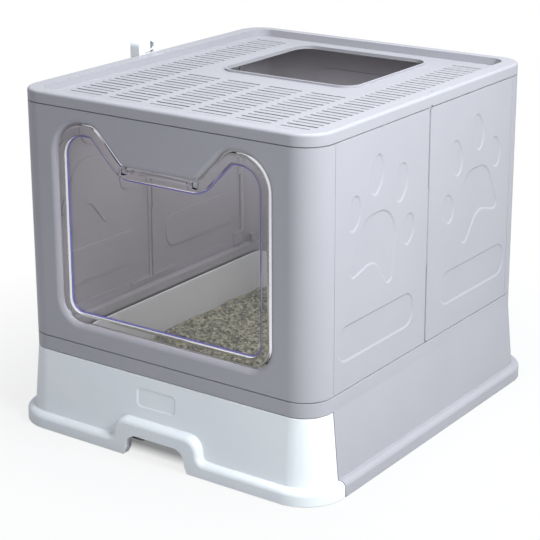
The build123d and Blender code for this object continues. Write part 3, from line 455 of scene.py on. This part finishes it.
def merged_node(node: str, cuts: tuple[tuple[Vector, Vector], ...] = ()) -> bmesh.types.BMesh:
    """Copies a CAD node's triangles into a bmesh with shared corners and whole flat faces.

    Args:
        node: Name of the CAD node.
        cuts: Planes, each a point and a normal, that cut through holes so that no flat face goes round one.

    Returns:
        The bmesh.
    """
    shape = open_bmesh(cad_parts[node].data)
    bmesh.ops.remove_doubles(shape, verts=shape.verts, dist=MERGE_DISTANCE)
    for point, normal in cuts:
        whole = [*shape.verts, *shape.edges, *shape.faces]
        cut = bmesh.ops.bisect_plane(shape, geom=whole, dist=MERGE_DISTANCE, plane_co=point, plane_no=normal)
        for edge in (item for item in cut["geom_cut"] if isinstance(item, bmesh.types.BMEdge)):
            edge.seam = True
    bmesh.ops.dissolve_limit(
        shape, angle_limit=COPLANAR, verts=shape.verts, edges=shape.edges, delimit={"SEAM"}
    )
    return shape


def wall_feet(
    shape: bmesh.types.BMesh, outward: Vector, depth_mm: float,
) -> dict[bmesh.types.BMVert, bmesh.types.BMVert]:
    """Finds the upright walls of one depth in a panel's outer face.

    Args:
        shape: The panel.
        outward: Direction that the outer face looks in.
        depth_mm: Depth of the walls.

    Returns:
        Each corner at the foot of a wall, with the corner above it in the outer face.
    """
    face_at = max(
        face.calc_center_median().dot(outward) for face in shape.faces if face.calc_area() > SKIN_AREA
    )
    depth = depth_mm * MM
    feet = {}
    for edge in shape.edges:
        low, high = sorted(edge.verts, key=lambda vertex: vertex.co.dot(outward))
        step = high.co - low.co
        upright = abs(step.dot(outward) - depth) < IN_PLANE and step.length < depth + IN_PLANE
        if upright and abs(high.co.dot(outward) - face_at) < IN_PLANE:
            feet[low] = high
    return feet


def slope_walls(
    shape: bmesh.types.BMesh, outward: Vector, depth_mm: float, slope_mm: float, ease_mm: float,
) -> None:
    """Turns the upright walls of the recesses in a panel's outer face into slopes.

    Args:
        shape: The panel.
        outward: Direction that the outer face looks in.
        depth_mm: Depth of the recesses that change.
        slope_mm: Width of the slopes, or 0 where the whole floor becomes the slope.
        ease_mm: Rounding of the slopes' upper and lower edges, or 0.
    """
    rise = wall_feet(shape, outward, depth_mm)
    slopes = []
    if slope_mm:
        floors = [
            face for face in shape.faces
            if face.normal.dot(outward) > FACING and all(vertex in rise for vertex in face.verts)
        ]
        ring = bmesh.ops.inset_region(shape, faces=floors, thickness=slope_mm * MM, use_even_offset=True)
        slopes = ring["faces"]
        rise = wall_feet(shape, outward, depth_mm)
    for low, high in rise.items():
        low.co = high.co
    bmesh.ops.remove_doubles(shape, verts=[*rise.keys(), *rise.values()], dist=MERGE_DISTANCE)
    if ease_mm:
        ring_faces = {face for face in slopes if face.is_valid}
        rims = [
            edge for edge in shape.edges
            if len(edge.link_faces) == 2 and sum(face in ring_faces for face in edge.link_faces) == 1
        ]
        bmesh.ops.bevel(
            shape, geom=rims, offset=ease_mm * MM, segments=EASE_SEGMENTS, profile=ROUND_PROFILE,
            affect="EDGES", material=-1, clamp_overlap=True,
        )


def ease_edges(piece: bpy.types.Object, radius_mm: float) -> None:
    """Rounds a piece's sharp edges as a mould does, and keeps its flat faces flat in the shading.

    Args:
        piece: Mesh object.
        radius_mm: Size of the rounding.
    """
    bevel = piece.modifiers.new("eased_edges", "BEVEL")
    bevel.width = radius_mm * MM
    bevel.segments = EASE_SEGMENTS
    bevel.limit_method = "ANGLE"
    bevel.angle_limit = SHARP
    bevel.use_clamp_overlap = True
    bevel.harden_normals = False
    bevel.miter_outer = "MITER_ARC"
    flat = piece.modifiers.new("flat_faces", "WEIGHTED_NORMAL")
    flat.keep_sharp = True
    flat.weight = FLAT_WEIGHT


@dataclass
class SubAssembly:
    """What the sub-assemblies share: the palette and how a CAD node is dressed."""

    palette: Palette

    def dress_node(self, node: str, slot: Slot) -> None:
        """Gives a CAD node that stays as it is its finish.

        Args:
            node: Name of the CAD node.
            slot: Finish.
        """
        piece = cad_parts[node]
        piece.data.materials.clear()
        piece.data.materials.append(self.palette.materials[slot])
        LOG.info("%s keeps its CAD mesh", node)

    def mould(self, node: str, body: str, slot: Slot, edge_mm: float) -> bpy.types.Object:
        """Stands a finer piece with eased edges in for a CAD node.

        Args:
            node: CAD node that the piece replaces.
            body: Body that carries it.
            slot: Finish.
            edge_mm: Rounding of its sharp edges.

        Returns:
            The piece.
        """
        return self.finish_mould(node, merged_node(node), body, slot, edge_mm)

    def finish_mould(
        self, node: str, shape: bmesh.types.BMesh, body: str, slot: Slot, edge_mm: float,
    ) -> bpy.types.Object:
        """Finishes a reshaped copy of a CAD node and stands it in for the node.

        Args:
            node: CAD node that the piece replaces.
            shape: Its reshaped copy, which is freed.
            body: Body that carries it.
            slot: Finish.
            edge_mm: Rounding of its sharp edges.

        Returns:
            The piece.
        """
        piece = finish_piece(f"{node}_moulded", shape, body)
        ease_edges(piece, edge_mm)
        self.palette.dress(piece, slot)
        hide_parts(node)
        LOG.info("%s: %d faces", piece.name, len(piece.data.polygons))
        return piece


@dataclass
class BaseFrame(SubAssembly):
    """Grey base: flared skirt on a foot bead, strip over the drawer, ledge, floor and keepers."""

    body: str = "base"
    edge_mm: float = 0.5

    def build(self) -> None:
        """Builds the base's pieces."""
        self.mould("base_frame", self.body, Slot.GREY, self.edge_mm)
        for side in ("left", "right"):
            self.mould(f"keeper_{side}", self.body, Slot.GREY, self.edge_mm)


def flat_face(shape: bmesh.types.BMesh, spot: Vector, outward: Vector) -> bmesh.types.BMFace:
    """Finds the flat, roughly upright face that a spot lies on.

    Args:
        shape: The bmesh.
        spot: Spot on the face.
        outward: The face's normal.

    Returns:
        The face.
    """
    for face in shape.faces:
        if face.normal.dot(outward) <= SAME_PLANE or abs((face.verts[0].co - spot).dot(outward)) >= IN_PLANE:
            continue
        crossings = 0
        for edge in face.edges:
            low, high = sorted((vertex.co - spot for vertex in edge.verts), key=lambda off: off.z)
            if low.z <= 0 < high.z and low.x + (high.x - low.x) * -low.z / (high.z - low.z) > 0:
                crossings += 1
        if crossings % 2:
            return face
    raise ValueError("no flat face at this spot")


@dataclass
class LitterDrawer(SubAssembly):
    """White drawer with its flared front and tray, and the litter in it."""

    body: str = "drawer"
    edge_mm: float = 0.7
    # The blank field in the flared front
    field_w_mm: float = 55.0
    field_h_mm: float = 22.5
    field_round_mm: float = 6.0
    field_z_mm: float = 70.0
    field_x_mm: float = -7.5
    field_deep_mm: float = 0.8
    field_slope_mm: float = 1.2
    field_segments: int = 6
    # Width of the flat border that is cut out of the front with the field
    field_free_mm: float = 3.0
    # The front leans, and its normal's share along y lies between this and FACING
    front_lean: float = 0.95
    # The litter's uneven bed
    grid_mm: float = 4.0
    swell_mm: float = 3.0
    swell_across_mm: float = 60.0
    ripple_share: float = 0.35
    ripples: int = 5
    sink_share: float = 0.6
    # Levels at which the noise of the swell and of the ripples is read
    noise_levels: tuple[float, float] = (0.3, 1.7)
    litter_depth_mm: float = 9.0
    # Within this length of a corner the bed is drawn outwards, and no granules lie on it
    corner_mm: float = 15.0
    margin_mm: float = 1.0
    # The loose granules on it
    handfuls: int = 80
    granules: int = 65
    inset_mm: float = 4.0
    granule_mm: tuple[float, float] = (1.5, 2.6)
    granule_long: tuple[float, float] = (0.8, 1.3)
    granule_flat: tuple[float, float] = (0.6, 0.9)
    granule_tilt: float = 1.0
    granule_lift: float = 0.2
    seed: int = 7

    def build(self) -> None:
        """Builds the drawer's pieces."""
        shape = merged_node("drawer_tray")
        self.sink_field(shape)
        self.finish_mould("drawer_tray", shape, self.body, Slot.WHITE, self.edge_mm)
        self.litter()

    def field_ring(self, shrink_mm: float) -> list[Vector]:
        """Outline of the blank field, in its own plane.

        Args:
            shrink_mm: How far inside the field's edge it runs.

        Returns:
            Points round a rectangle with round corners, across and up from its middle.
        """
        radius = self.field_round_mm - shrink_mm
        half_w = self.field_w_mm / 2 - self.field_round_mm
        half_h = self.field_h_mm / 2 - self.field_round_mm
        points = []
        for quarter, (x, z) in enumerate(((1, 1), (-1, 1), (-1, -1), (1, -1))):
            for step in range(self.field_segments + 1):
                turn = math.pi / 2 * (quarter + step / self.field_segments)
                arc_x, arc_z = radius * math.cos(turn), radius * math.sin(turn)
                points.append(Vector((x * half_w + arc_x, z * half_h + arc_z)))
        return points

    def cut_patch(
        self, shape: bmesh.types.BMesh, middle: Vector, outward: Vector, up: Vector,
    ) -> bmesh.types.BMFace:
        """Cuts a rectangle a little larger than the blank field out of the drawer's front.

        Args:
            shape: The drawer.
            middle: Middle of the field.
            outward: Normal of the front.
            up: Direction up the front.

        Returns:
            The rectangle's face.
        """
        half_w, half_h = self.field_w_mm / 2 + self.field_free_mm, self.field_h_mm / 2 + self.field_free_mm
        for way, reach in ((Vector((1, 0, 0)), half_w), (up, half_h)):
            for side in (-1, 1):
                patch = flat_face(shape, middle, outward)
                bmesh.ops.bisect_plane(
                    shape, geom=[patch, *patch.edges, *patch.verts], dist=MERGE_DISTANCE,
                    plane_co=middle + way * (side * reach * MM), plane_no=way,
                )
        return flat_face(shape, middle, outward)

    def sink_field(self, shape: bmesh.types.BMesh) -> None:
        """Sinks the blank field with its sloping walls into the drawer's front.

        Args:
            shape: The drawer.
        """
        front = max(
            (face for face in shape.faces if -FACING < face.normal.y < -self.front_lean),
            key=lambda face: face.calc_area(),
        )
        outward, seat = front.normal.copy(), front.calc_center_median()
        across, up = Vector((1, 0, 0)), outward.cross(Vector((-1, 0, 0))).normalized()
        middle = Vector((self.field_x_mm * MM, 0, self.field_z_mm * MM))
        middle.y = seat.y - (middle.z - seat.z) * outward.z / outward.y
        patch = self.cut_patch(shape, middle, outward, up)
        corners = {
            ((vertex.co - middle).x > 0, (vertex.co - middle).dot(up) > 0): vertex for vertex in patch.verts
        }
        bmesh.ops.delete(shape, geom=[patch], context="FACES_ONLY")
        rim, floor = [
            [
                shape.verts.new(middle + (across * spot.x + up * spot.y - outward * deep_mm) * MM)
                for spot in self.field_ring(shrink_mm)
            ]
            for shrink_mm, deep_mm in ((0.0, 0.0), (self.field_slope_mm, self.field_deep_mm))
        ]
        for i, start in enumerate(rim):
            j = (i + 1) % len(rim)
            shape.faces.new((start, rim[j], floor[j], floor[i]))
            near, far = [
                corners[(vertex.co - middle).x > 0, (vertex.co - middle).dot(up) > 0]
                for vertex in (start, rim[j])
            ]
            border = (near, far) if near != far else (near,)
            shape.faces.new((rim[j], start, *border))
        shape.faces.new(floor)
        bmesh.ops.recalc_face_normals(shape, faces=shape.faces)

    def height(self, x: float, y: float, top: float) -> float:
        """Height of the uneven litter at one spot.

        Args:
            x: Place across.
            y: Place along.
            top: Mean height.

        Returns:
            Height above the floor.
        """
        across = 1 / (self.swell_across_mm * MM)
        wave_level, fine_level = self.noise_levels
        wave = noise.noise(Vector((x * across, y * across, wave_level)))
        fine = noise.noise(Vector((x * across * self.ripples, y * across * self.ripples, fine_level)))
        return top + (wave + self.ripple_share * fine - self.sink_share) * self.swell_mm * MM

    def granule(self, shape: bmesh.types.BMesh, spot: Vector, dice: random.Random) -> None:
        """Adds one granule.

        Args:
            shape: The bmesh that gets it.
            spot: Where it lies.
            dice: Source of its size and turn.
        """
        size = dice.uniform(*self.granule_mm) * MM
        spin = Matrix.Rotation(dice.uniform(0, math.tau), 4, "Z")
        turn = spin @ Matrix.Rotation(dice.uniform(0, self.granule_tilt), 4, "X")
        long, flat = dice.uniform(*self.granule_long), dice.uniform(*self.granule_flat)
        stretch = Matrix.Diagonal((size * long, size, size * flat, 1))
        place = Matrix.Translation(spot + Vector((0, 0, size * self.granule_lift)))
        bmesh.ops.create_icosphere(shape, subdivisions=1, radius=1.0, matrix=place @ turn @ stretch)

    def bed(self, middle: Vector, half: Vector, top: float) -> bmesh.types.BMesh:
        """Builds the litter's uneven top with drawn-out corners, its sides and its flat underside.

        Args:
            middle: Middle of the bed.
            half: Half its size across and along.
            top: Mean height of its top.

        Returns:
            The bed.
        """
        shape = open_bmesh()
        bmesh.ops.create_grid(
            shape, x_segments=round(2 * half.x / (self.grid_mm * MM)),
            y_segments=round(2 * half.y / (self.grid_mm * MM)), size=1.0,
            matrix=Matrix.Translation((middle.x, middle.y, top)) @ Matrix.Diagonal((half.x, half.y, 1, 1)),
        )
        corner = self.corner_mm * MM
        for vertex in shape.verts:
            out = Vector((vertex.co.x - middle.x, vertex.co.y - middle.y))
            past = Vector((max(0, abs(out.x) - half.x + corner), max(0, abs(out.y) - half.y + corner)))
            if past.x > 0 and past.y > 0 and past.length > corner:
                keep = past * (corner / past.length) - past
                vertex.co.x += math.copysign(keep.x, out.x)
                vertex.co.y += math.copysign(keep.y, out.y)
            vertex.co.z = self.height(vertex.co.x, vertex.co.y, top)
        border = [edge for edge in shape.edges if edge.is_boundary]
        skirt = bmesh.ops.extrude_edge_only(shape, edges=border)
        for vertex in (item for item in skirt["geom"] if isinstance(item, bmesh.types.BMVert)):
            vertex.co.z = top - self.litter_depth_mm * MM
        bmesh.ops.holes_fill(shape, edges=[edge for edge in shape.edges if edge.is_boundary])
        bmesh.ops.recalc_face_normals(shape, faces=shape.faces)
        return shape

    def litter(self) -> bpy.types.Object:
        """Builds the litter: an uneven bed with loose granules over it.

        Returns:
            The litter's piece.
        """
        low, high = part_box("litter_bed")
        margin, inset, corner = self.margin_mm * MM, self.inset_mm * MM, self.corner_mm * MM
        half = Vector(((high.x - low.x) / 2 - margin, (high.y - low.y) / 2 - margin))
        middle = (low + high) / 2
        shape = self.bed(middle, half, high.z)
        dice = random.Random(self.seed)
        for _ in range(self.handfuls):
            handful = open_bmesh()
            for _ in range(self.granules):
                x = middle.x + dice.uniform(-1, 1) * (half.x - inset)
                y = middle.y + dice.uniform(-1, 1) * (half.y - inset)
                if abs(x - middle.x) > half.x - corner and abs(y - middle.y) > half.y - corner:
                    continue
                self.granule(handful, Vector((x, y, self.height(x, y, high.z))), dice)
            mesh = bpy.data.meshes.new("handful")
            handful.to_mesh(mesh)
            handful.free()
            shape.from_mesh(mesh)
            bpy.data.meshes.remove(mesh)
        piece = finish_piece("litter_granules", shape, self.body)
        self.palette.dress(piece, Slot.LITTER)
        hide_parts("litter_bed")
        LOG.info("%s: %d faces", piece.name, len(piece.data.polygons))
        return piece


@dataclass
class FoldingWalls(SubAssembly):
    """Front and back walls, the four folding half panels, their pins and their catches."""

    edge_mm: float = 0.5
    recess_mm: float = 1.3
    slope_mm: float = 2.1
    slope_edge_mm: float = 0.5
    seam_step_mm: float = 0.6
    # Heights of the outer skins' lower and upper edges, and how far each moves for a wider shadow line
    skin_low_mm: float = 113.6
    skin_high_mm: float = 392.9
    shadow_mm: float = 0.6
    # How far each half panel reaches towards the other at the middle seam, beyond the CAD solid
    reach_mm: float = 0.1

    def build(self) -> None:
        """Builds the walls' pieces."""
        front = merged_node("front_panel")
        self.open_seams(front)
        self.finish_mould("front_panel", front, "front_wall", Slot.GREY, self.edge_mm)
        self.panel("back_panel", "base", Vector((0, 1, 0)))
        for side, outward in (("left", Vector((-1, 0, 0))), ("right", Vector((1, 0, 0)))):
            for half, ahead in (("front", 1), ("rear", -1)):
                self.panel(f"{half}_{side}_panel", f"{half}_{side}_wall", outward, ahead)
                self.dress_node(f"{half}_{side}_pin", Slot.PIN)
            self.dress_node(f"mid_{side}_pin", Slot.PIN)
            self.mould(f"wall_catch_{side}", f"rear_{side}_wall", Slot.GREY, self.edge_mm)

    def open_seams(self, shape: bmesh.types.BMesh) -> None:
        """Widens the shadow lines over the base and under the lid.

        Args:
            shape: A panel.
        """
        moves = ((self.skin_low_mm, self.shadow_mm), (self.skin_high_mm, -self.shadow_mm))
        for level_mm, step_mm in moves:
            for vertex in shape.verts:
                if abs(vertex.co.z - level_mm * MM) < IN_PLANE:
                    vertex.co.z += step_mm * MM

    def close_seam(self, shape: bmesh.types.BMesh, outward: Vector, ahead: int) -> None:
        """Narrows the middle seam, which the photograph shows as a hairline.

        Args:
            shape: A half panel.
            outward: Direction that its outer face looks in.
            ahead: Direction along y in which its edge at the seam lies, 1 or -1.
        """
        face_at = max(vertex.co.dot(outward) for vertex in shape.verts)
        skin = [vertex for vertex in shape.verts if vertex.co.dot(outward) > face_at - self.recess_mm * MM]
        edge_at = max(ahead * vertex.co.y for vertex in skin)
        for vertex in shape.verts:
            if abs(ahead * vertex.co.y - edge_at) < IN_PLANE:
                vertex.co.y += ahead * self.reach_mm * MM

    def panel(self, node: str, body: str, outward: Vector, ahead: int = 0) -> bpy.types.Object:
        """Builds a panel whose sunk fields and seam have sloped walls.

        Args:
            node: CAD node that it replaces.
            body: Body that carries it.
            outward: Direction that its outer face looks in.
            ahead: Direction along y of its edge at the middle seam, or 0.

        Returns:
            The panel's piece.
        """
        shape = merged_node(node)
        self.open_seams(shape)
        if ahead:
            self.close_seam(shape, outward, ahead)
        slope_walls(shape, outward, self.recess_mm, self.slope_mm, self.slope_edge_mm)
        slope_walls(shape, outward, self.seam_step_mm, 0.0, 0.0)
        return self.finish_mould(node, shape, body, Slot.GREY, self.edge_mm)


@dataclass
class SwingDoor(SubAssembly):
    """Clear swing door with its broad rounded rim, on two stub pins."""

    body: str = "door"
    edge_mm: float = 0.5
    rim_round_mm: float = 3.0
    rim_segments: int = 5
    # The rim's front face has more than this many square metres
    rim_area: float = 1e-4
    # The hinge's barrel and notches lie in this part of the upper edge
    hinge_half_mm: float = 60.0
    hinge_low_mm: float = 323.5
    foot_w_mm: float = 1.9
    foot_h_mm: float = 1.7
    foot_round_mm: float = 0.6
    foot_free_mm: float = 0.05
    foot_segments: int = 3
    foot_corner: float = math.radians(60)

    def build(self) -> None:
        """Builds the door's pieces."""
        shape = merged_node("door")
        self.round_rim(shape)
        self.finish_mould("door", shape, self.body, Slot.CLEAR, self.edge_mm)
        self.rim_foot()
        for side in ("left", "right"):
            self.dress_node(f"door_pin_{side}", Slot.PIN)

    def at_hinge(self, spot: Vector) -> bool:
        """Whether a spot lies in the hinge's part of the upper edge."""
        return abs(spot.x) < self.hinge_half_mm * MM and spot.z > self.hinge_low_mm * MM

    def round_rim(self, shape: bmesh.types.BMesh) -> None:
        """Rounds the rim's two front edges, apart from the hinge's part of the upper edge.

        Args:
            shape: The door.
        """
        front_at = min(
            face.calc_center_median().y for face in shape.faces
            if face.normal.y < -FACING and face.calc_area() > self.rim_area
        )
        rims = [
            edge for edge in shape.edges
            if all(abs(vertex.co.y - front_at) < IN_PLANE for vertex in edge.verts)
            and len(edge.link_faces) == 2 and edge.calc_face_angle(0) > SHARP
            and not any(self.at_hinge(vertex.co) for vertex in edge.verts)
        ]
        bmesh.ops.bevel(
            shape, geom=rims, offset=self.rim_round_mm * MM, segments=self.rim_segments,
            profile=ROUND_PROFILE, affect="EDGES", material=-1, clamp_overlap=False,
        )

    def rim_foot(self) -> bpy.types.Object:
        """Builds the slim bead where the rim meets the pane.

        Returns:
            The bead's piece.
        """
        shape = merged_node("door")
        pane = max(
            (face for face in shape.faces if face.normal.y < -FACING), key=lambda face: face.calc_area()
        )
        pane_at = pane.calc_center_median().y
        bmesh.ops.delete(shape, geom=[face for face in shape.faces if face != pane], context="FACES")
        pane = max(shape.faces, key=lambda face: face.calc_area())
        ring = bmesh.ops.inset_region(
            shape, faces=[pane], thickness=self.foot_w_mm * MM, use_even_offset=True, use_boundary=True
        )
        bmesh.ops.delete(
            shape, geom=[face for face in shape.faces if face not in set(ring["faces"])], context="FACES"
        )
        bmesh.ops.solidify(shape, geom=shape.faces[:], thickness=self.foot_h_mm * MM)
        bmesh.ops.recalc_face_normals(shape, faces=shape.faces)
        back_at = max(vertex.co.y for vertex in shape.verts)
        shift = pane_at - self.foot_free_mm * MM - back_at
        bmesh.ops.translate(shape, vec=(0, shift, 0), verts=shape.verts)
        sharp = [edge for edge in shape.edges if edge.calc_face_angle(0) > self.foot_corner]
        bmesh.ops.bevel(
            shape, geom=sharp, offset=self.foot_round_mm * MM, segments=self.foot_segments,
            profile=ROUND_PROFILE, affect="EDGES", material=-1, clamp_overlap=True,
        )
        piece = finish_piece("door_rim_foot", shape, self.body)
        # The bead's violet finish is a painted highlight, standing in for the glint of light along the clear
        # edge
        self.palette.dress(piece, Slot.CLEAR, self.palette.painted_edge_glint)
        LOG.info("%s: %d faces", piece.name, len(piece.data.polygons))
        return piece


@dataclass
class SlottedLid(SubAssembly):
    """Lid with its slots, its beaded way out and the scoop's hook."""

    body: str = "lid"
    edge_mm: float = 0.45
    slot_pitch_x_mm: float = 59.0
    slot_pitch_y_mm: float = 11.15
    slot_columns: int = 6
    slot_rows: int = 36
    first_row_mm: float = -200.0
    # How far each long side of a slot moves in from the CAD solid's
    slot_draw_mm: float = 0.7
    # The slots' upright edges are longer than the first of these and at most as long as the second
    slot_edge_mm: tuple[float, float] = (1.5, 2.1)
    # The upright edges that move lie between these distances from their slot's middle line
    slot_half_mm: tuple[float, float] = (1.5, 3.0)

    def slot_planes(self) -> tuple[tuple[Vector, Vector], ...]:
        """Planes through the middles of the slots, across and along.

        Returns:
            A point and a normal of each plane.
        """
        middle = (self.slot_columns - 1) / 2
        across = [
            (Vector(((i - middle) * self.slot_pitch_x_mm * MM, 0, 0)), Vector((1, 0, 0)))
            for i in range(self.slot_columns)
        ]
        along = [
            (Vector((0, (self.first_row_mm + i * self.slot_pitch_y_mm) * MM, 0)), Vector((0, 1, 0)))
            for i in range(self.slot_rows)
        ]
        return (*across, *along)

    def draw_slots(self, shape: bmesh.types.BMesh) -> None:
        """Draws the slots' long walls in, so that the rows read finer.

        Args:
            shape: The lid.
        """
        pitch, first = self.slot_pitch_y_mm * MM, self.first_row_mm * MM
        short, long = (size * MM for size in self.slot_edge_mm)
        near, far = (size * MM for size in self.slot_half_mm)
        half_columns = self.slot_columns / 2 * self.slot_pitch_x_mm * MM
        for edge in list(shape.edges):
            step, spot = edge.verts[0].co - edge.verts[1].co, edge.verts[0].co
            if abs(step.z) <= short or step.length > long or abs(spot.x) > half_columns:
                continue
            row = round((spot.y - first) / pitch)
            middle = first + row * pitch
            off = spot.y - middle
            if 0 <= row < self.slot_rows and near < abs(off) < far:
                for vertex in edge.verts:
                    vertex.co.y = middle + math.copysign(abs(off) - self.slot_draw_mm * MM, off)

    def build(self) -> None:
        """Builds the lid's pieces."""
        shape = merged_node("lid", self.slot_planes())
        self.draw_slots(shape)
        self.finish_mould("lid", shape, self.body, Slot.GREY, self.edge_mm)
        self.mould("scoop_hook", self.body, Slot.GREY, self.edge_mm)


@dataclass
class HangingScoop(SubAssembly):
    """White sifting scoop on its hook."""

    edge_mm: float = 0.6

    def build(self) -> None:
        """Builds the scoop from the CAD's triangles, as a whole flat face would close its slots."""
        shape = open_bmesh(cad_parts["scoop"].data)
        bmesh.ops.remove_doubles(shape, verts=shape.verts, dist=MERGE_DISTANCE)
        self.finish_mould("scoop", shape, "scoop", Slot.WHITE, self.edge_mm)


@dataclass
class AreaLamp:
    """One soft box of the studio."""

    name: str
    place: tuple[float, float, float]
    target: tuple[float, float, float]
    size: tuple[float, float]
    power: float
    colour: str = "#FFFFFF"
    # Whether polished edges mirror the soft box
    glossy: bool = True

    def build(self) -> None:
        """Builds the lamp."""
        data = bpy.data.lights.new(self.name, "AREA")
        data.shape = "RECTANGLE"
        data.size, data.size_y = self.size
        data.energy = self.power
        data.color = linear(self.colour)[:3]
        lamp = bpy.data.objects.new(self.name, data)
        lamp.visible_glossy = self.glossy
        lamp.visible_camera = False
        way = Vector(self.target) - Vector(self.place)
        turn = way.to_track_quat("-Z", "Y").to_matrix().to_4x4()
        lamp.matrix_world = Matrix.Translation(self.place) @ turn
        bpy.context.scene.collection.objects.link(lamp)


@dataclass
class Studio:
    """Camera, lamps, floor and world."""

    # The camera stands right of the front and above it
    yaw: float = -35.29
    pitch: float = 17.04
    roll: float = -0.2
    eye: tuple[float, float, float] = (1.0892, -1.5607, 0.8142)
    lens: float = 109.92
    sensor: float = 36.0
    clip: tuple[float, float] = (0.05, 60.0)
    # The photograph's upright edges hardly lean, as with a lens moved down
    shift_y: float = -0.1
    floor_half: float = 6.0
    world_strength: float = 0.38
    world_colour: str = "#EEF3FF"

    def build(self) -> None:
        """Builds the studio."""
        self.camera()
        self.floor()
        self.world()
        for lamp in self.lamps():
            lamp.build()
        bpy.context.scene.view_settings.view_transform = "Standard"

    def camera(self) -> None:
        """Builds the camera."""
        yaw, pitch, roll = (math.radians(a) for a in (self.yaw, self.pitch, self.roll))
        ahead = Vector((math.sin(yaw) * math.cos(pitch), math.cos(yaw) * math.cos(pitch), -math.sin(pitch)))
        right = Vector((math.cos(yaw), -math.sin(yaw), 0))
        up = right.cross(ahead)
        across = math.cos(roll) * right + math.sin(roll) * up
        upright = math.cos(roll) * up - math.sin(roll) * right
        data = bpy.data.cameras.new("camera")
        data.sensor_width = self.sensor
        data.lens = self.lens
        data.shift_y = self.shift_y
        data.clip_start, data.clip_end = self.clip
        camera = bpy.data.objects.new("camera", data)
        turn = Matrix((across, upright, -ahead)).transposed().to_4x4()
        camera.matrix_world = Matrix.Translation(self.eye) @ turn
        bpy.context.scene.collection.objects.link(camera)
        bpy.context.scene.camera = camera

    def floor(self) -> None:
        """Builds the floor."""
        shape = open_bmesh()
        bmesh.ops.create_grid(shape, x_segments=2, y_segments=2, size=self.floor_half)
        mesh = bpy.data.meshes.new("floor")
        shape.to_mesh(mesh)
        shape.free()
        mesh.materials.append(StudioPaper().build())
        floor = bpy.data.objects.new("floor", mesh)
        bpy.context.scene.collection.objects.link(floor)

    def world(self) -> None:
        """Builds the world: soft fill for the object and white behind it, as strong as the paper's."""
        world = bpy.data.worlds.new("studio")
        world.use_nodes = True
        tree = world.node_tree
        tree.nodes.clear()
        fill = add_node(tree, "ShaderNodeBackground", {
            "Color": linear(self.world_colour), "Strength": self.world_strength,
        })
        white = add_node(tree, "ShaderNodeBackground", {"Color": linear("#FFFFFF"), "Strength": 1.0})
        mixed = add_node(tree, "ShaderNodeMixShader", {
            0: seen_directly(tree), 1: fill.outputs[0], 2: white.outputs[0],
        })
        add_node(tree, "ShaderNodeOutputWorld", {"Surface": mixed.outputs[0]})
        bpy.context.scene.world = world

    def lamps(self) -> list[AreaLamp]:
        """Lists the soft boxes: a fill beside the camera, a key from the right, a top light, one inside.

        Returns:
            The lamps.
        """
        return [
            AreaLamp("front", (0.75, -2.1, 0.8), (0.0, -0.1, 0.2), (0.6, 0.6), 2.0, "#F4F7FF"),
            AreaLamp(
                "key", (1.17, -0.33, 1.1), (0.15, -0.05, 0.2), (0.7, 0.7), 29.5, "#F5FDFF",
                glossy=False,
            ),
            AreaLamp("top", (0.2, 0.1, 1.9), (0.0, 0.0, 0.2), (0.9, 0.9), 25.0, "#F5FDFF"),
            AreaLamp(
                "inside", (-0.02, -0.03, 0.37), (-0.02, 0.0, 0.0), (0.24, 0.24), 0.36, "#FFF8F4",
                glossy=False,
            ),
        ]


def main() -> None:
    """Builds every sub-assembly in order."""
    logging.basicConfig(level=logging.INFO, format="%(relativeCreated)7d ms  %(message)s")
    palette = Palette()
    Studio().build()
    for assembly in (BaseFrame, LitterDrawer, FoldingWalls, SwingDoor, SlottedLid, HangingScoop):
        assembly(palette).build()
        LOG.info("%s built", assembly.__name__)


if __name__ == "__main__":
    main()
